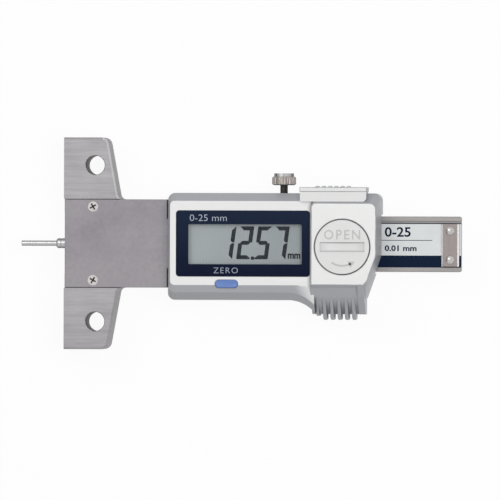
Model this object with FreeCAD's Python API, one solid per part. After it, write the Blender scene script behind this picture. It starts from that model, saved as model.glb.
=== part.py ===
"""Digital tread depth gauge: steel cross base, slider with a display housing, beam with a stepped probe.

Frame: origin where the probe's axis meets the measuring face. +X runs from the measuring face along the
beam, +Y across it towards the clamp screw, +Z out of the display. Sizes are in millimetres.
Each sub-part is written to parts/ as one STEP file, at the reading set below.
"""
import FreeCAD
import Part
import math
import os

V = FreeCAD.Vector
AXIS_X = V(1, 0, 0)
AXIS_Y = V(0, 1, 0)
AXIS_Z = V(0, 0, 1)
CLOSE = 0.001

# Reading and travel
READING = 12.57
READING_MAX = 25.0

# Fits
RUNNING_FIT = 0.05
SLIDING_GAP = 0.10
LOOSE_GAP = 0.20
BEAM_EXIT_GAP = 0.40
SEAT_GAP = 0.02

# Modelling allowances: how far a cut runs past a face, and how far fused shapes bite
PAST = 1.0
BITE = 0.1

# Beam
BEAM_WIDTH = 16.0
BEAM_THICK = 3.5
BEAM_LENGTH = 98.5
BEAM_EDGE = 0.30
BEAM_CORNER = 0.6
BEAM_STOP_GAP = 0.57
RECESS_LAND = 1.325
SCALE_SIDE_GAP = 0.675
SCALE_THICK = 0.40
SCALE_END_MARGIN = 5.6
LABEL_SIDE_GAP = 0.6
LABEL_THICK = 0.20
LABEL_START = 12.0
BOND_THICK = 0.10

# Probe
PIN_DIAMETER = 1.5
PIN_TIP_LENGTH = 10.13
PIN_SHANK_LENGTH = 5.0
PIN_SHANK_DIAMETER = 1.1
PIN_EDGE = 0.12
ROD_DIAMETER = 2.85
ROD_EDGE = 0.35
ROD_GROOVE_FROM_END = 1.2
ROD_GROOVE_WIDTH = 0.25
ROD_GROOVE_DEPTH = 0.10
STUD_DIAMETER = 2.2
STUD_LENGTH = 6.0

# Base
BASE_LENGTH = 61.0
BASE_THICK = 15.0
BASE_FRONT = 5.0
BASE_WING_DEPTH = 12.5
WING_TAPER = 3.2
NECK_STRAIGHT = 2.3
BASE_CORNER = 2.2
BASE_ROOT_FILLET = 1.6
BASE_EDGE = 0.50
BASE_FACE_WALL = 3.0
BASE_RELIEF_WIDTH = 17.3
BASE_RELIEF_DEPTH = 0.25
BASE_HOLE_SPACING = 45.0
BASE_HOLE_X = 9.0
BASE_HOLE_RADIUS = 2.75
BASE_HOLE_EDGE = 0.20
ROD_HOLE_CLEARANCE = 0.20

# Neck plate
RAIL_WIDTH = 4.7
PLATE_SINK = 0.15
PLATE_SIDE_GAP = 0.12
PLATE_CASE_GAP = 0.15
PLATE_EDGE = 0.15
TONGUE_WIDTH = 14.4
TONGUE_LENGTH = 7.0
PLATE_SCREW_X = 8.4
PLATE_SCREW_INSET = 2.1
PLATE_SCREW_HEAD = 3.0
PLATE_SCREW_SHANK = 1.6
PLATE_SCREW_LENGTH = 7.5
FRAME_SCREW_INSET = 6.0
FRAME_SCREW_COVER = 0.75

# Slider frame
FRAME_END_INSET = 4.7
FRAME_WEB = 2.65
RAIL_OVER_BEAM = 0.30
GIB_THICK = 1.0
GIB_START_INSET = 7.0
GIB_END_INSET = 3.8
GIB_END_GAP = 0.15
GIB_SCREW_OFFSETS = (9.0, 37.0)
GIB_SCREW_DIAMETER = 2.0
GIB_SCREW_LENGTH = 2.4
GIB_SCREW_SLOT = 0.7
GIB_DIMPLE_RADIUS = 0.8
GIB_DIMPLE_DEPTH = 0.25
BACK_CHAMFER = 0.5

# Lock screw
LOCK_FROM_CASE = 33.2
LOCK_SHANK = 2.2
LOCK_HEAD_DIAMETER = 6.9
LOCK_HEAD_THICK = 2.5
LOCK_HEAD_STAND = 2.3
LOCK_CROWN_DIAMETER = 5.7
LOCK_CROWN_THICK = 0.9
LOCK_DISH_RADIUS = 6.0
LOCK_DISH_DEPTH = 0.55
LOCK_HEAD_EDGE = 0.35
LOCK_KNURLS = 30
LOCK_KNURL_DEPTH = 0.16
LOCK_TIP_GAP = 0.05

# Housing, in steps from the neck, the rails and the window
NECK_SHOWN = 12.0
CASE_LIFT = 0.5
CASE_TOP_WALL = 1.9
CASE_BOTTOM_WALL = 3.5
CASE_END_WALL = 2.6
CASE_SHOULDER = 5.0
CASE_FACE = 9.5
BEVEL_DROP = 0.9
CASE_CORNER = 2.1
BEVEL_CORNER = 1.8
FACE_CORNER = 1.3
CASE_OVERLAP = 3.0
SHOULDER_INSET = 0.1
BEVEL_INSET = 0.5
FACE_INSET = 1.0
FACE_TOP_INSET = 2.3
FACE_BOTTOM_INSET = 4.3
BEVEL_BOTTOM_INSET = 2.2
ROOM_SIDE_STEP = 1.0
ROOM_END_INSET = 1.1
COMPARTMENT_STEP = 0.5
COMPARTMENT_LEFT = 1.1
COMPARTMENT_RIGHT = 1.8
COMPARTMENT_FLANK = 1.0
COMPARTMENT_SIDE_STEP = 1.0
COMPARTMENT_CORNER = 1.9
COMPARTMENT_INNER_CORNER = 1.4
COMPARTMENT_LIP = 0.35
SLANT_TOP_Y = -3.4
SLANT_SLOPE = 0.353
SLANT_TOP_ROUND = 2.5
SLANT_FACE_ROUND = 2.2
SLANT_FOOT_ROUND = 1.4
FOOT_INNER_CORNER = 0.4

# Thumb grip
GRIP_STEP = 0.2
GRIP_END_INSET = 4.5
GRIP_DROP = 4.0
GRIP_SLOPE_INSET = 0.7
GRIP_SLOPE_Z = 8.4
GRIP_SHOULDER_Z = 1.6
GRIP_POST_WIDTH = 1.9
GRIP_POST_PROUD = 0.35
GRIP_ROOT_Y = -8.0
GRIP_EDGE = 0.05
GRIP_BROW_DROP = 0.85
GRIP_BROW_ROUND = 1.2
GRIP_SHOULDER_ROUND = 1.5
FLARE_LENGTH = 8.0
FLARE_BULGE = 0.55
FLARE_BEVEL = 2.3
GRIP_RIBS = 6
RIB_PITCH = 2.09
RIB_FIRST_STEP = 1.65
RIB_WIDTH = 1.15
RIB_DROP = 1.65
RIB_KNEE = 1.8
RIB_KNEE_RISE = 0.5
RIB_FOOT_GAP = 0.3
RIB_PROUD = 0.25
RIB_ROOT_INSET = 6.7
RIB_ROOT_Z = 6.0
RIB_BACK_INSET = 2.2
RIB_ROUND = 0.42
FIRST_RIB_SHARE = 0.3

# Window, display and key
WINDOW_INSET = 2.8
WINDOW_LENGTH = 38.5
WINDOW_TOP_INSET = 2.8
WINDOW_BOTTOM_INSET = 2.5
WINDOW_THICK = 1.0
WINDOW_PROUD = 0.05
WINDOW_CORNER = 0.9
WINDOW_EDGE = 0.12
WINDOW_LEDGE = 0.75
SEAL_THICK = 0.10
SEAL_INSET = 0.10
SEAL_MARGIN = 0.20
VIEW_BORDERS = (3.5, 2.3, 3.5, 3.9)
VIEW_MARGIN = 0.5
PANEL_START_INSET = 1.4
PANEL_END_GAP = 0.3
PANEL_HALF = 8.0
PANEL_THICK = 1.1
PANEL_LEDGE = 1.2
KEY_FROM_WINDOW = 14.5
KEY_FROM_FACE_EDGE = 0.35
KEY_LENGTH = 6.6
KEY_WIDTH = 2.3
KEY_PROUD = 0.30
KEY_TRAVEL = 0.45
KEY_FLANGE = 0.45
KEY_FLANGE_THICK = 0.6
KEY_STEM = 0.9
KEY_CROWN = 0.30
KEY_STEM_OFFSET = 1.55
SWITCH_HALF = 1.5
SWITCH_BASE = 0.5
SWITCH_RISE = 0.3
SWITCH_DOME = 1.2

# Electronics
BOARD_THICK = 0.8
BOARD_TONGUE_GAP = 0.55
BOARD_END_INSET = 0.8
BOARD_SIDE_GAP = 0.5
BOARD_HEADROOM = 0.9
CHIP_SIZE = 6.0
CHIP_THICK = 0.9
CHIP_EDGE = 0.15
CHIP_FROM_BOARD_END = 18.6
STRIP_WIDTH = 1.6
STRIP_INSET = 1.0

# Battery
CELL_DIAMETER = 11.6
CELL_THICK = 5.4
CELL_EDGE = 0.5
CELL_RIM_STEP = 1.0
CELL_RIM_THICK = 0.5
CELL_Y = -0.85
CELL_GAP = 0.35
CONTACT_ROOM = 0.61
LEAF_THICK = 0.2
LEAF_WIDTH = 3.0
LEAF_RISE = 3.0
LEAF_FOOT = 1.8
TONGUE_FOOT = 5.0
TONGUE_BEND = 1.6
TONGUE_CREST = 0.6
TONGUE_END = 3.2
LID_NECK_WALL = 0.85
LID_FLANGE_REACH = 1.25
LID_GAP = 0.22
LID_RING_GAP = 0.30
LID_DEPTH = 2.9
LID_FLANGE_THICK = 1.1
LID_SLOT_LENGTH = 12.8
LID_SLOT_WIDTH = 2.75
LID_SLOT_DEPTH = 1.0
LID_SLOT_END_DEPTH = 0.25
LUG_REACH = 0.45
LUG_THICK = 0.7
LUG_ANGLE = 34.0
LUG_SIDE_PLAY = 4.0
LUG_COUNT = 3
LID_TURN = 60.0
LUG_PLAY = 0.12
LID_SEAL_SECTION = 0.44
LID_SEAL_INSET = 0.13
LID_EDGE = 0.2

# Data port
PORT_LENGTH = 19.35
PORT_END_INSET = 3.75
PORT_RISE = 1.75
PORT_SKIRT_RISE = 0.4
PORT_SKIRT_LAP = 0.1
PORT_FACE = 10.9
PORT_BACK = 1.6
PORT_CORNER = 1.15
PORT_SKIRT_INSET = 0.12
PORT_RIDGES = 6
PORT_RIDGE_STEP = 4.9
PORT_RIDGE_PITCH = 1.8
PORT_RIDGE_RADIUS = 0.5
PORT_RIDGE_INSET = 0.75
PORT_PLUG_DEPTH = 0.9
PORT_PLUG_ROOT = 0.5
PORT_DEPTH = 2.4
PORT_ROOM_INSET = 3.2
PORT_EDGE = 0.25
PORT_ROOM_LOW = 3.6
PORT_ROOM_HIGH = 7.0
CONTACT_COUNT = 5
CONTACT_PITCH = 1.3
CONTACT_STRIP = (8.4, 0.6, 2.4)
CONTACT_PAD = (0.7, 0.15, 1.6)

# Case screws
CASE_SCREW_START_STEP = 4.1
CASE_SCREW_END_STEP = 4.0
CASE_SCREW_TOP_INSET = 2.1
CASE_SCREW_BOTTOM_INSET = 2.3
CASE_SCREW_HEAD = 2.6
CASE_SCREW_SHANK = 1.4
CASE_SCREW_LENGTH = 9.2
BOSS_RADIUS = 1.35
NOTCH_REACH = 4.0
GASKET_THICK = 0.3

# Stopper
STOPPER_LENGTH = 5.1
STOPPER_EDGE = 0.45
STOPPER_SIDE_GAP = 0.25
STOPPER_THICK = 1.0
STOPPER_END_GAP = 0.60
STOPPER_SCREW_SPACING = 8.27
STOPPER_SCREW_HEAD = 2.6
STOPPER_SCREW_RISE = 0.75
STOPPER_SCREW_SHANK = 1.2
STOPPER_SCREW_LENGTH = 3.2

# Driver recesses
CROSS_WIDTH = 0.40
CROSS_SHARE = 0.66
CROSS_DEPTH = 0.7
DRIVER_SLOT = 0.35

# Places along the beam that follow from the sizes
BASE_ROOT_DEPTH = BASE_WING_DEPTH + WING_TAPER
BASE_NECK_DEPTH = BASE_ROOT_DEPTH + NECK_STRAIGHT
PIN_TIP_X = -READING
ROD_END_X = PIN_TIP_X + PIN_TIP_LENGTH
BEAM_START = BASE_FACE_WALL + (READING_MAX - READING) + BEAM_STOP_GAP
BEAM_END = BEAM_START + BEAM_LENGTH
FRAME_START = BASE_NECK_DEPTH + SEAT_GAP
FRAME_SCREW_X = FRAME_START + FRAME_SCREW_INSET
CASE_START = BASE_NECK_DEPTH + NECK_SHOWN
PLATE_START = BASE_RELIEF_DEPTH
PLATE_END = CASE_START - PLATE_CASE_GAP
TONGUE_TIP = PLATE_END + TONGUE_LENGTH
ROOM_START = CASE_START + CASE_END_WALL
LOCK_X = CASE_START + LOCK_FROM_CASE
WINDOW_START = CASE_START + WINDOW_INSET
WINDOW_END = WINDOW_START + WINDOW_LENGTH
VIEW_START = WINDOW_START + VIEW_BORDERS[0]
VIEW_END = WINDOW_END - VIEW_BORDERS[1]
ROOM_END = WINDOW_END - ROOM_END_INSET
PANEL_START = ROOM_START + PANEL_START_INSET
PANEL_END = ROOM_END - PANEL_END_GAP
KEY_X = WINDOW_START + KEY_FROM_WINDOW
COMPARTMENT_START = WINDOW_END + COMPARTMENT_STEP
COMPARTMENT_FOOT = COMPARTMENT_START - COMPARTMENT_STEP
LID_NECK_DIAMETER = CELL_DIAMETER + 2 * LID_NECK_WALL
LID_DIAMETER = LID_NECK_DIAMETER + 2 * LID_FLANGE_REACH
LID_SEAL_RADIUS = LID_DIAMETER / 2 - LID_SEAL_INSET
CELL_X = COMPARTMENT_START + COMPARTMENT_LEFT + LID_DIAMETER / 2
COMPARTMENT_END = CELL_X + LID_DIAMETER / 2 + COMPARTMENT_RIGHT
CASE_END = COMPARTMENT_END + COMPARTMENT_FLANK
FRAME_END = CASE_END - FRAME_END_INSET
GIB_START = CASE_START + GIB_START_INSET
GIB_END = FRAME_END - GIB_END_INSET
BOARD_START = TONGUE_TIP + BOARD_TONGUE_GAP
BOARD_END = FRAME_END - BOARD_END_INSET
CHIP_X = BOARD_START + CHIP_FROM_BOARD_END
CASE_SCREW_XS = (BOARD_START + CASE_SCREW_START_STEP, BOARD_END - CASE_SCREW_END_STEP)
GRIP_START = COMPARTMENT_START - GRIP_STEP
GRIP_END = CASE_END - GRIP_END_INSET
FLARE_START = GRIP_START - FLARE_LENGTH
RIB_FIRST = GRIP_START + RIB_FIRST_STEP
PORT_END = CASE_END - PORT_END_INSET
PORT_START = PORT_END - PORT_LENGTH
PORT_RIDGE_FIRST = PORT_START + PORT_RIDGE_STEP

# Places across the beam
NECK_WIDTH = BEAM_WIDTH + 2 * RAIL_WIDTH
SCALE_RECESS_WIDTH = BEAM_WIDTH - 2 * RECESS_LAND
SCALE_WIDTH = SCALE_RECESS_WIDTH - 2 * SCALE_SIDE_GAP
LABEL_WIDTH = SCALE_RECESS_WIDTH - LABEL_SIDE_GAP
LABEL_LOW = -SCALE_RECESS_WIDTH / 2 + SEAT_GAP
STOPPER_WIDTH = LABEL_WIDTH - 2 * STOPPER_SIDE_GAP
CHANNEL_LOW = -BEAM_WIDTH / 2 - SLIDING_GAP
CHANNEL_HIGH = BEAM_WIDTH / 2 + SLIDING_GAP
GIB_FACE = BEAM_WIDTH / 2 + RUNNING_FIT
GIB_BACK = GIB_FACE + GIB_THICK
PLATE_SCREW_Y = NECK_WIDTH / 2 - PLATE_SCREW_INSET
CASE_SCREW_TOP = NECK_WIDTH / 2 - CASE_SCREW_TOP_INSET
CASE_SCREW_BOTTOM = -NECK_WIDTH / 2 + CASE_SCREW_BOTTOM_INSET
CASE_TOP = NECK_WIDTH / 2 + CASE_TOP_WALL
CASE_BOTTOM = -NECK_WIDTH / 2 - CASE_BOTTOM_WALL
FACE_TOP = CASE_TOP - FACE_TOP_INSET
FACE_BOTTOM = CASE_BOTTOM + FACE_BOTTOM_INSET
BEVEL_BOTTOM = CASE_BOTTOM + BEVEL_BOTTOM_INSET
ROOM_WIDTH = NECK_WIDTH - 2 * ROOM_SIDE_STEP
BOARD_HALF = ROOM_WIDTH / 2 - BOARD_SIDE_GAP
COMPARTMENT_HALF = NECK_WIDTH / 2 - COMPARTMENT_SIDE_STEP
WINDOW_TOP = FACE_TOP - WINDOW_TOP_INSET
WINDOW_BOTTOM = FACE_BOTTOM + WINDOW_BOTTOM_INSET
VIEW_BOTTOM = WINDOW_BOTTOM + VIEW_BORDERS[2]
VIEW_TOP = WINDOW_TOP - VIEW_BORDERS[3]
KEY_Y = FACE_BOTTOM + KEY_FROM_FACE_EDGE
KEY_STEM_Y = KEY_Y + KEY_STEM_OFFSET
GRIP_SLOPE_Y = CASE_BOTTOM + GRIP_SLOPE_INSET
GRIP_FLOOR_Y = CASE_BOTTOM - GRIP_DROP
RIB_ROOT_Y = GRIP_FLOOR_Y + RIB_ROOT_INSET
RIB_BACK_Y = GRIP_FLOOR_Y + RIB_BACK_INSET
PORT_TOP = CASE_TOP + PORT_RISE
PORT_SKIRT_TOP = CASE_TOP + PORT_SKIRT_RISE
PORT_SKIRT_LOW = FACE_TOP - PORT_SKIRT_LAP
LOCK_HEAD_BOTTOM = CASE_TOP + LOCK_HEAD_STAND

# Heights
BEAM_FRONT = BEAM_THICK / 2
BEAM_BACK = -BEAM_THICK / 2
SCALE_RECESS_DEPTH = SCALE_THICK + LABEL_THICK + BOND_THICK
BASE_BACK = BASE_FRONT - BASE_THICK
PLATE_FRONT = BASE_FRONT - PLATE_SINK
RAIL_TOP = BEAM_FRONT + RAIL_OVER_BEAM
WEB_TOP = BEAM_BACK - SLIDING_GAP
FRAME_BACK = WEB_TOP - FRAME_WEB
FRAME_SCREW_LENGTH = PLATE_FRONT - FRAME_BACK - FRAME_SCREW_COVER
CASE_BACK = FRAME_BACK + CASE_LIFT
CASE_BEVEL = CASE_FACE - BEVEL_DROP
BOARD_BACK = RAIL_TOP + SEAT_GAP
BOARD_FRONT = BOARD_BACK + BOARD_THICK
WINDOW_BACK = CASE_FACE + WINDOW_PROUD - WINDOW_THICK
ROOM_CEILING = WINDOW_BACK - SEAL_THICK - WINDOW_LEDGE
PANEL_FRONT = ROOM_CEILING - SEAT_GAP
PANEL_BACK = PANEL_FRONT - PANEL_THICK
CELL_FLOOR = BOARD_FRONT + SEAT_GAP
CELL_BOTTOM = CELL_FLOOR + CONTACT_ROOM
CELL_TOP = CELL_BOTTOM + CELL_THICK
LID_BOTTOM = CELL_TOP + LOOSE_GAP
LID_TOP = LID_BOTTOM + LID_DEPTH
COMPARTMENT_FACE = LID_TOP
SWITCH_TOP = BOARD_FRONT + SEAT_GAP + SWITCH_BASE + SWITCH_RISE
GRIP_RIDGE_Z = GRIP_SHOULDER_Z + RIB_KNEE_RISE


def box(x0, x1, y0, y1, z0, z1):
    """Block between two corners."""
    return Part.makeBox(x1 - x0, y1 - y0, z1 - z0, V(x0, y0, z0))


def rod(radius, start, end):
    """Round bar between two points."""
    direction = end - start
    return Part.makeCylinder(radius, direction.Length, start, direction)


def cone(radius0, radius1, start, end):
    """Tapered round bar between two points."""
    direction = end - start
    return Part.makeCone(radius0, radius1, direction.Length, start, direction)


def rounded_wire(corners, place):
    """Closed wire through (u, v, radius) corners, each with its own radius; place maps (u, v) to space."""
    count = len(corners)
    trimmed = []
    for i, (u, v, radius) in enumerate(corners):
        here = V(u, v, 0)
        to_last = (V(corners[i - 1][0], corners[i - 1][1], 0) - here).normalize()
        to_next = (V(corners[(i + 1) % count][0], corners[(i + 1) % count][1], 0) - here).normalize()
        if radius == 0:
            trimmed.append((here, None, here))
            continue
        half = to_last.getAngle(to_next) / 2
        reach = radius / math.tan(half)
        centre = here + (to_last + to_next).normalize() * (radius / math.sin(half))
        middle = centre + (here - centre).normalize() * radius
        trimmed.append((here + to_last * reach, middle, here + to_next * reach))
    edges = []
    for i, (start, middle, end) in enumerate(trimmed):
        if middle is not None:
            edges.append(Part.Arc(place(start), place(middle), place(end)).toShape())
        following = trimmed[(i + 1) % count][0]
        if (following - end).Length > 1e-6:
            edges.append(Part.LineSegment(place(end), place(following)).toShape())
    return Part.Wire(edges)


def plan_prism(corners, z0, z1):
    """Prism along Z over a rounded plan outline."""
    wire = rounded_wire(corners, lambda p: V(p.x, p.y, z0))
    return Part.Face(wire).extrude(V(0, 0, z1 - z0))


def side_prism(corners, x0, x1):
    """Prism along X over a rounded outline in (y, z)."""
    wire = rounded_wire(corners, lambda p: V(x0, p.x, p.y))
    return Part.Face(wire).extrude(V(x1 - x0, 0, 0))


def rectangle(x0, x1, y0, y1, radius):
    """Corners of a rounded rectangle, anticlockwise."""
    return [(x0, y0, radius), (x1, y0, radius), (x1, y1, radius), (x0, y1, radius)]


def plan_loft(levels):
    """Solid through plan outlines, given as (z, corners), with straight sides between them."""
    wires = []
    for z, corners in levels:
        wires.append(rounded_wire(corners, lambda p, height=z: V(p.x, p.y, height)))
    return Part.makeLoft(wires, True, True)


def pill(x, y, length, width, z0, z1):
    """Flat-ended bar with full round ends, along X."""
    half = length / 2 - width / 2
    radius = width / 2
    bar = box(x - half, x + half, y - radius, y + radius, z0, z1)
    ends = [rod(radius, V(x + side * half, y, z0), V(x + side * half, y, z1)) for side in (-1, 1)]
    return bar.multiFuse(ends).removeSplitter()


def edges_at(shape, test):
    """Edges whose every end point passes a test."""
    return [edge for edge in shape.Edges if all(test(vertex.Point) for vertex in edge.Vertexes)]


def level(z, tolerance=1e-4):
    """Test for points at one height."""
    return lambda point: abs(point.z - z) < tolerance


def cross_recess(head_radius, depth, top):
    """Cross-shaped driver recess, cut down from top."""
    reach = head_radius * CROSS_SHARE
    arms = box(-reach, reach, -CROSS_WIDTH / 2, CROSS_WIDTH / 2, top - depth, top + PAST)
    return arms.fuse(box(-CROSS_WIDTH / 2, CROSS_WIDTH / 2, -reach, reach, top - depth, top + PAST))


def countersunk_screw(head_diameter, shank_diameter, length):
    """Countersunk screw with its head's flat at z = 0, pointing down -Z."""
    head_depth = (head_diameter - shank_diameter) / 2
    head = cone(shank_diameter / 2, head_diameter / 2, V(0, 0, -head_depth), V(0, 0, 0))
    shank = rod(shank_diameter / 2, V(0, 0, -length), V(0, 0, -head_depth))
    return head.fuse(shank).cut(cross_recess(head_diameter / 2, CROSS_DEPTH, 0)).removeSplitter()


def countersunk_hole(head_diameter, shank_diameter, length):
    """Room for a countersunk screw, with its mouth at z = 0."""
    head_depth = (head_diameter - shank_diameter) / 2
    cut = cone(shank_diameter / 2 + SEAT_GAP, head_diameter / 2 + SEAT_GAP, V(0, 0, -head_depth), V(0, 0, 0))
    mouth = rod(head_diameter / 2 + SEAT_GAP, V(0, 0, 0), V(0, 0, 1))
    return cut.multiFuse([mouth, rod(shank_diameter / 2 + SEAT_GAP, V(0, 0, -length), V(0, 0, -head_depth))])


def placed(shape, x, y, z, turn_axis=None, degrees=0):
    """Copy of a shape, turned about the origin and then moved."""
    copy = shape.copy()
    if turn_axis is not None:
        copy.rotate(V(0, 0, 0), turn_axis, degrees)
    copy.translate(V(x, y, z))
    return copy


def make_base():
    """Cross piece: one block with wings, a channel for the beam and the guide hole of the probe rod."""
    half = BASE_LENGTH / 2
    neck = NECK_WIDTH / 2
    outline = [
        (0, -half, 0), (BASE_WING_DEPTH, -half, BASE_CORNER),
        (BASE_ROOT_DEPTH, -neck, BASE_ROOT_FILLET), (BASE_NECK_DEPTH, -neck, 0),
        (BASE_NECK_DEPTH, neck, 0), (BASE_ROOT_DEPTH, neck, BASE_ROOT_FILLET),
        (BASE_WING_DEPTH, half, BASE_CORNER), (0, half, 0),
    ]
    body = plan_prism(outline, BASE_BACK, BASE_FRONT)
    wing_side = edges_at(body, level(BASE_FRONT))
    slanted = [edge for edge in wing_side
               if all(v.Point.x > CLOSE and abs(v.Point.y) > neck + CLOSE for v in edge.Vertexes)]
    body = body.makeChamfer(BASE_EDGE, slanted)
    channel = box(BASE_FACE_WALL, BASE_NECK_DEPTH + PAST, CHANNEL_LOW, CHANNEL_HIGH, WEB_TOP,
                  BASE_FRONT + PAST)
    seat_half = neck + PLATE_SIDE_GAP
    seat = box(-PAST, BASE_NECK_DEPTH + PAST, -seat_half, seat_half, RAIL_TOP, BASE_FRONT + PAST)
    relief_half = BASE_RELIEF_WIDTH / 2
    relief = box(-PAST, BASE_RELIEF_DEPTH, -relief_half, relief_half, BASE_BACK - PAST, BASE_FRONT + PAST)
    guide_radius = ROD_DIAMETER / 2 + ROD_HOLE_CLEARANCE
    guide = rod(guide_radius, V(-PAST, 0, 0), V(BASE_FACE_WALL + PAST, 0, 0))
    cuts = [channel, seat, relief, guide]
    for side in (-1, 1):
        y = side * BASE_HOLE_SPACING / 2
        back, front = V(BASE_HOLE_X, y, BASE_BACK - PAST), V(BASE_HOLE_X, y, BASE_FRONT + PAST)
        cuts.append(rod(BASE_HOLE_RADIUS, back, front))
        wide = BASE_HOLE_RADIUS + BASE_HOLE_EDGE
        for face, inward in ((BASE_FRONT, -1), (BASE_BACK, 1)):
            bottom = V(BASE_HOLE_X, y, face + inward * BASE_HOLE_EDGE)
            cuts.append(cone(BASE_HOLE_RADIUS, wide, bottom, V(BASE_HOLE_X, y, face)))
        tapped = PLATE_SCREW_SHANK / 2 + SEAT_GAP
        depth = PLATE_FRONT - PLATE_SCREW_LENGTH - LOOSE_GAP
        cuts.append(rod(tapped, V(PLATE_SCREW_X, side * PLATE_SCREW_Y, depth),
                        V(PLATE_SCREW_X, side * PLATE_SCREW_Y, BASE_FRONT)))
    return body.cut(cuts).removeSplitter()


def make_neck_plate():
    """Plate over the beam from the measuring face to the housing, with a tongue that runs under it."""
    half = NECK_WIDTH / 2
    tongue = TONGUE_WIDTH / 2
    outline = [
        (PLATE_START, -half, 0), (PLATE_END, -half, 0), (PLATE_END, -tongue, 0),
        (TONGUE_TIP, -tongue, 0), (TONGUE_TIP, tongue, 0),
        (PLATE_END, tongue, 0), (PLATE_END, half, 0), (PLATE_START, half, 0),
    ]
    plate = plan_prism(outline, RAIL_TOP + SEAT_GAP, PLATE_FRONT)
    plate = plate.makeChamfer(PLATE_EDGE, edges_at(plate, level(PLATE_FRONT)))
    cuts = []
    for side in (-1, 1):
        hole = countersunk_hole(PLATE_SCREW_HEAD, PLATE_SCREW_SHANK, PLATE_FRONT)
        cuts.append(placed(hole, PLATE_SCREW_X, side * PLATE_SCREW_Y, PLATE_FRONT))
        depth = FRAME_BACK + FRAME_SCREW_LENGTH + LOOSE_GAP
        cuts.append(rod(PLATE_SCREW_SHANK / 2 + SEAT_GAP, V(FRAME_SCREW_X, side * PLATE_SCREW_Y, RAIL_TOP),
                        V(FRAME_SCREW_X, side * PLATE_SCREW_Y, depth)))
    return plate.cut(cuts)


def make_plate_screws():
    """Two countersunk screws that hold the plate to the base."""
    screw = countersunk_screw(PLATE_SCREW_HEAD, PLATE_SCREW_SHANK, PLATE_SCREW_LENGTH)
    return [placed(screw, PLATE_SCREW_X, side * PLATE_SCREW_Y, PLATE_FRONT - SEAT_GAP, AXIS_Z, 30 * side)
            for side in (-1, 1)]


def make_frame_screws():
    """Two countersunk screws from the back that hold the frame to the neck plate."""
    screw = countersunk_screw(PLATE_SCREW_HEAD, PLATE_SCREW_SHANK, FRAME_SCREW_LENGTH)
    return [placed(screw, FRAME_SCREW_X, side * PLATE_SCREW_Y, FRAME_BACK + SEAT_GAP, AXIS_X, 180)
            for side in (-1, 1)]


def gib_screw_places():
    """X places of the gib's set screws."""
    return [GIB_START + offset for offset in GIB_SCREW_OFFSETS]


def case_screw_places():
    """(x, y) places of the four case screws."""
    return [(x, y) for x in CASE_SCREW_XS for y in (CASE_SCREW_BOTTOM, CASE_SCREW_TOP)]


def make_slider_frame():
    """Channel under the housing: back web, two rails, the gib's pocket and the screw holes."""
    half = NECK_WIDTH / 2
    frame = box(FRAME_START, FRAME_END, -half, half, FRAME_BACK, RAIL_TOP)
    frame = frame.makeChamfer(BACK_CHAMFER, edges_at(frame, level(FRAME_BACK)))
    pocket_start = GIB_START - GIB_END_GAP
    pocket_end = GIB_END + GIB_END_GAP
    cuts = [
        box(FRAME_START - PAST, FRAME_END + PAST, CHANNEL_LOW, CHANNEL_HIGH, WEB_TOP, RAIL_TOP + PAST),
        box(pocket_start, pocket_end, 0, GIB_BACK + SEAT_GAP, WEB_TOP, RAIL_TOP + PAST),
    ]
    for x in gib_screw_places():
        cuts.append(rod(GIB_SCREW_DIAMETER / 2 + SEAT_GAP, V(x, GIB_FACE, 0), V(x, half + PAST, 0)))
    cuts.append(rod(LOCK_SHANK / 2 + RUNNING_FIT, V(LOCK_X, GIB_FACE, 0), V(LOCK_X, half + PAST, 0)))
    for x, y in case_screw_places():
        hole = countersunk_hole(CASE_SCREW_HEAD, CASE_SCREW_SHANK, CASE_SCREW_LENGTH)
        cuts.append(placed(hole, x, y, FRAME_BACK, AXIS_X, 180))
    for side in (-1, 1):
        hole = countersunk_hole(PLATE_SCREW_HEAD, PLATE_SCREW_SHANK, FRAME_SCREW_LENGTH)
        cuts.append(placed(hole, FRAME_SCREW_X, side * PLATE_SCREW_Y, FRAME_BACK, AXIS_X, 180))
    return frame.cut(cuts).removeSplitter()


def make_gib():
    """Leaf between the beam's edge and the frame, dimpled where the screws press."""
    leaf = box(GIB_START, GIB_END, GIB_FACE, GIB_BACK, BEAM_BACK, BEAM_FRONT)
    cuts = [rod(GIB_DIMPLE_RADIUS, V(x, GIB_BACK - GIB_DIMPLE_DEPTH, 0), V(x, GIB_BACK + PAST, 0))
            for x in gib_screw_places()]
    return leaf.cut(cuts)


def make_gib_screws():
    """Two slotted set screws in the top rail."""
    screws = []
    for x in gib_screw_places():
        outer = GIB_BACK + SEAT_GAP + GIB_SCREW_LENGTH
        screw = rod(GIB_SCREW_DIAMETER / 2, V(x, GIB_BACK + SEAT_GAP, 0), V(x, outer, 0))
        slot = box(x - GIB_SCREW_DIAMETER, x + GIB_SCREW_DIAMETER, outer - GIB_SCREW_SLOT, outer + PAST,
                   -DRIVER_SLOT / 2, DRIVER_SLOT / 2)
        screws.append(screw.cut(slot))
    return screws


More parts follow.
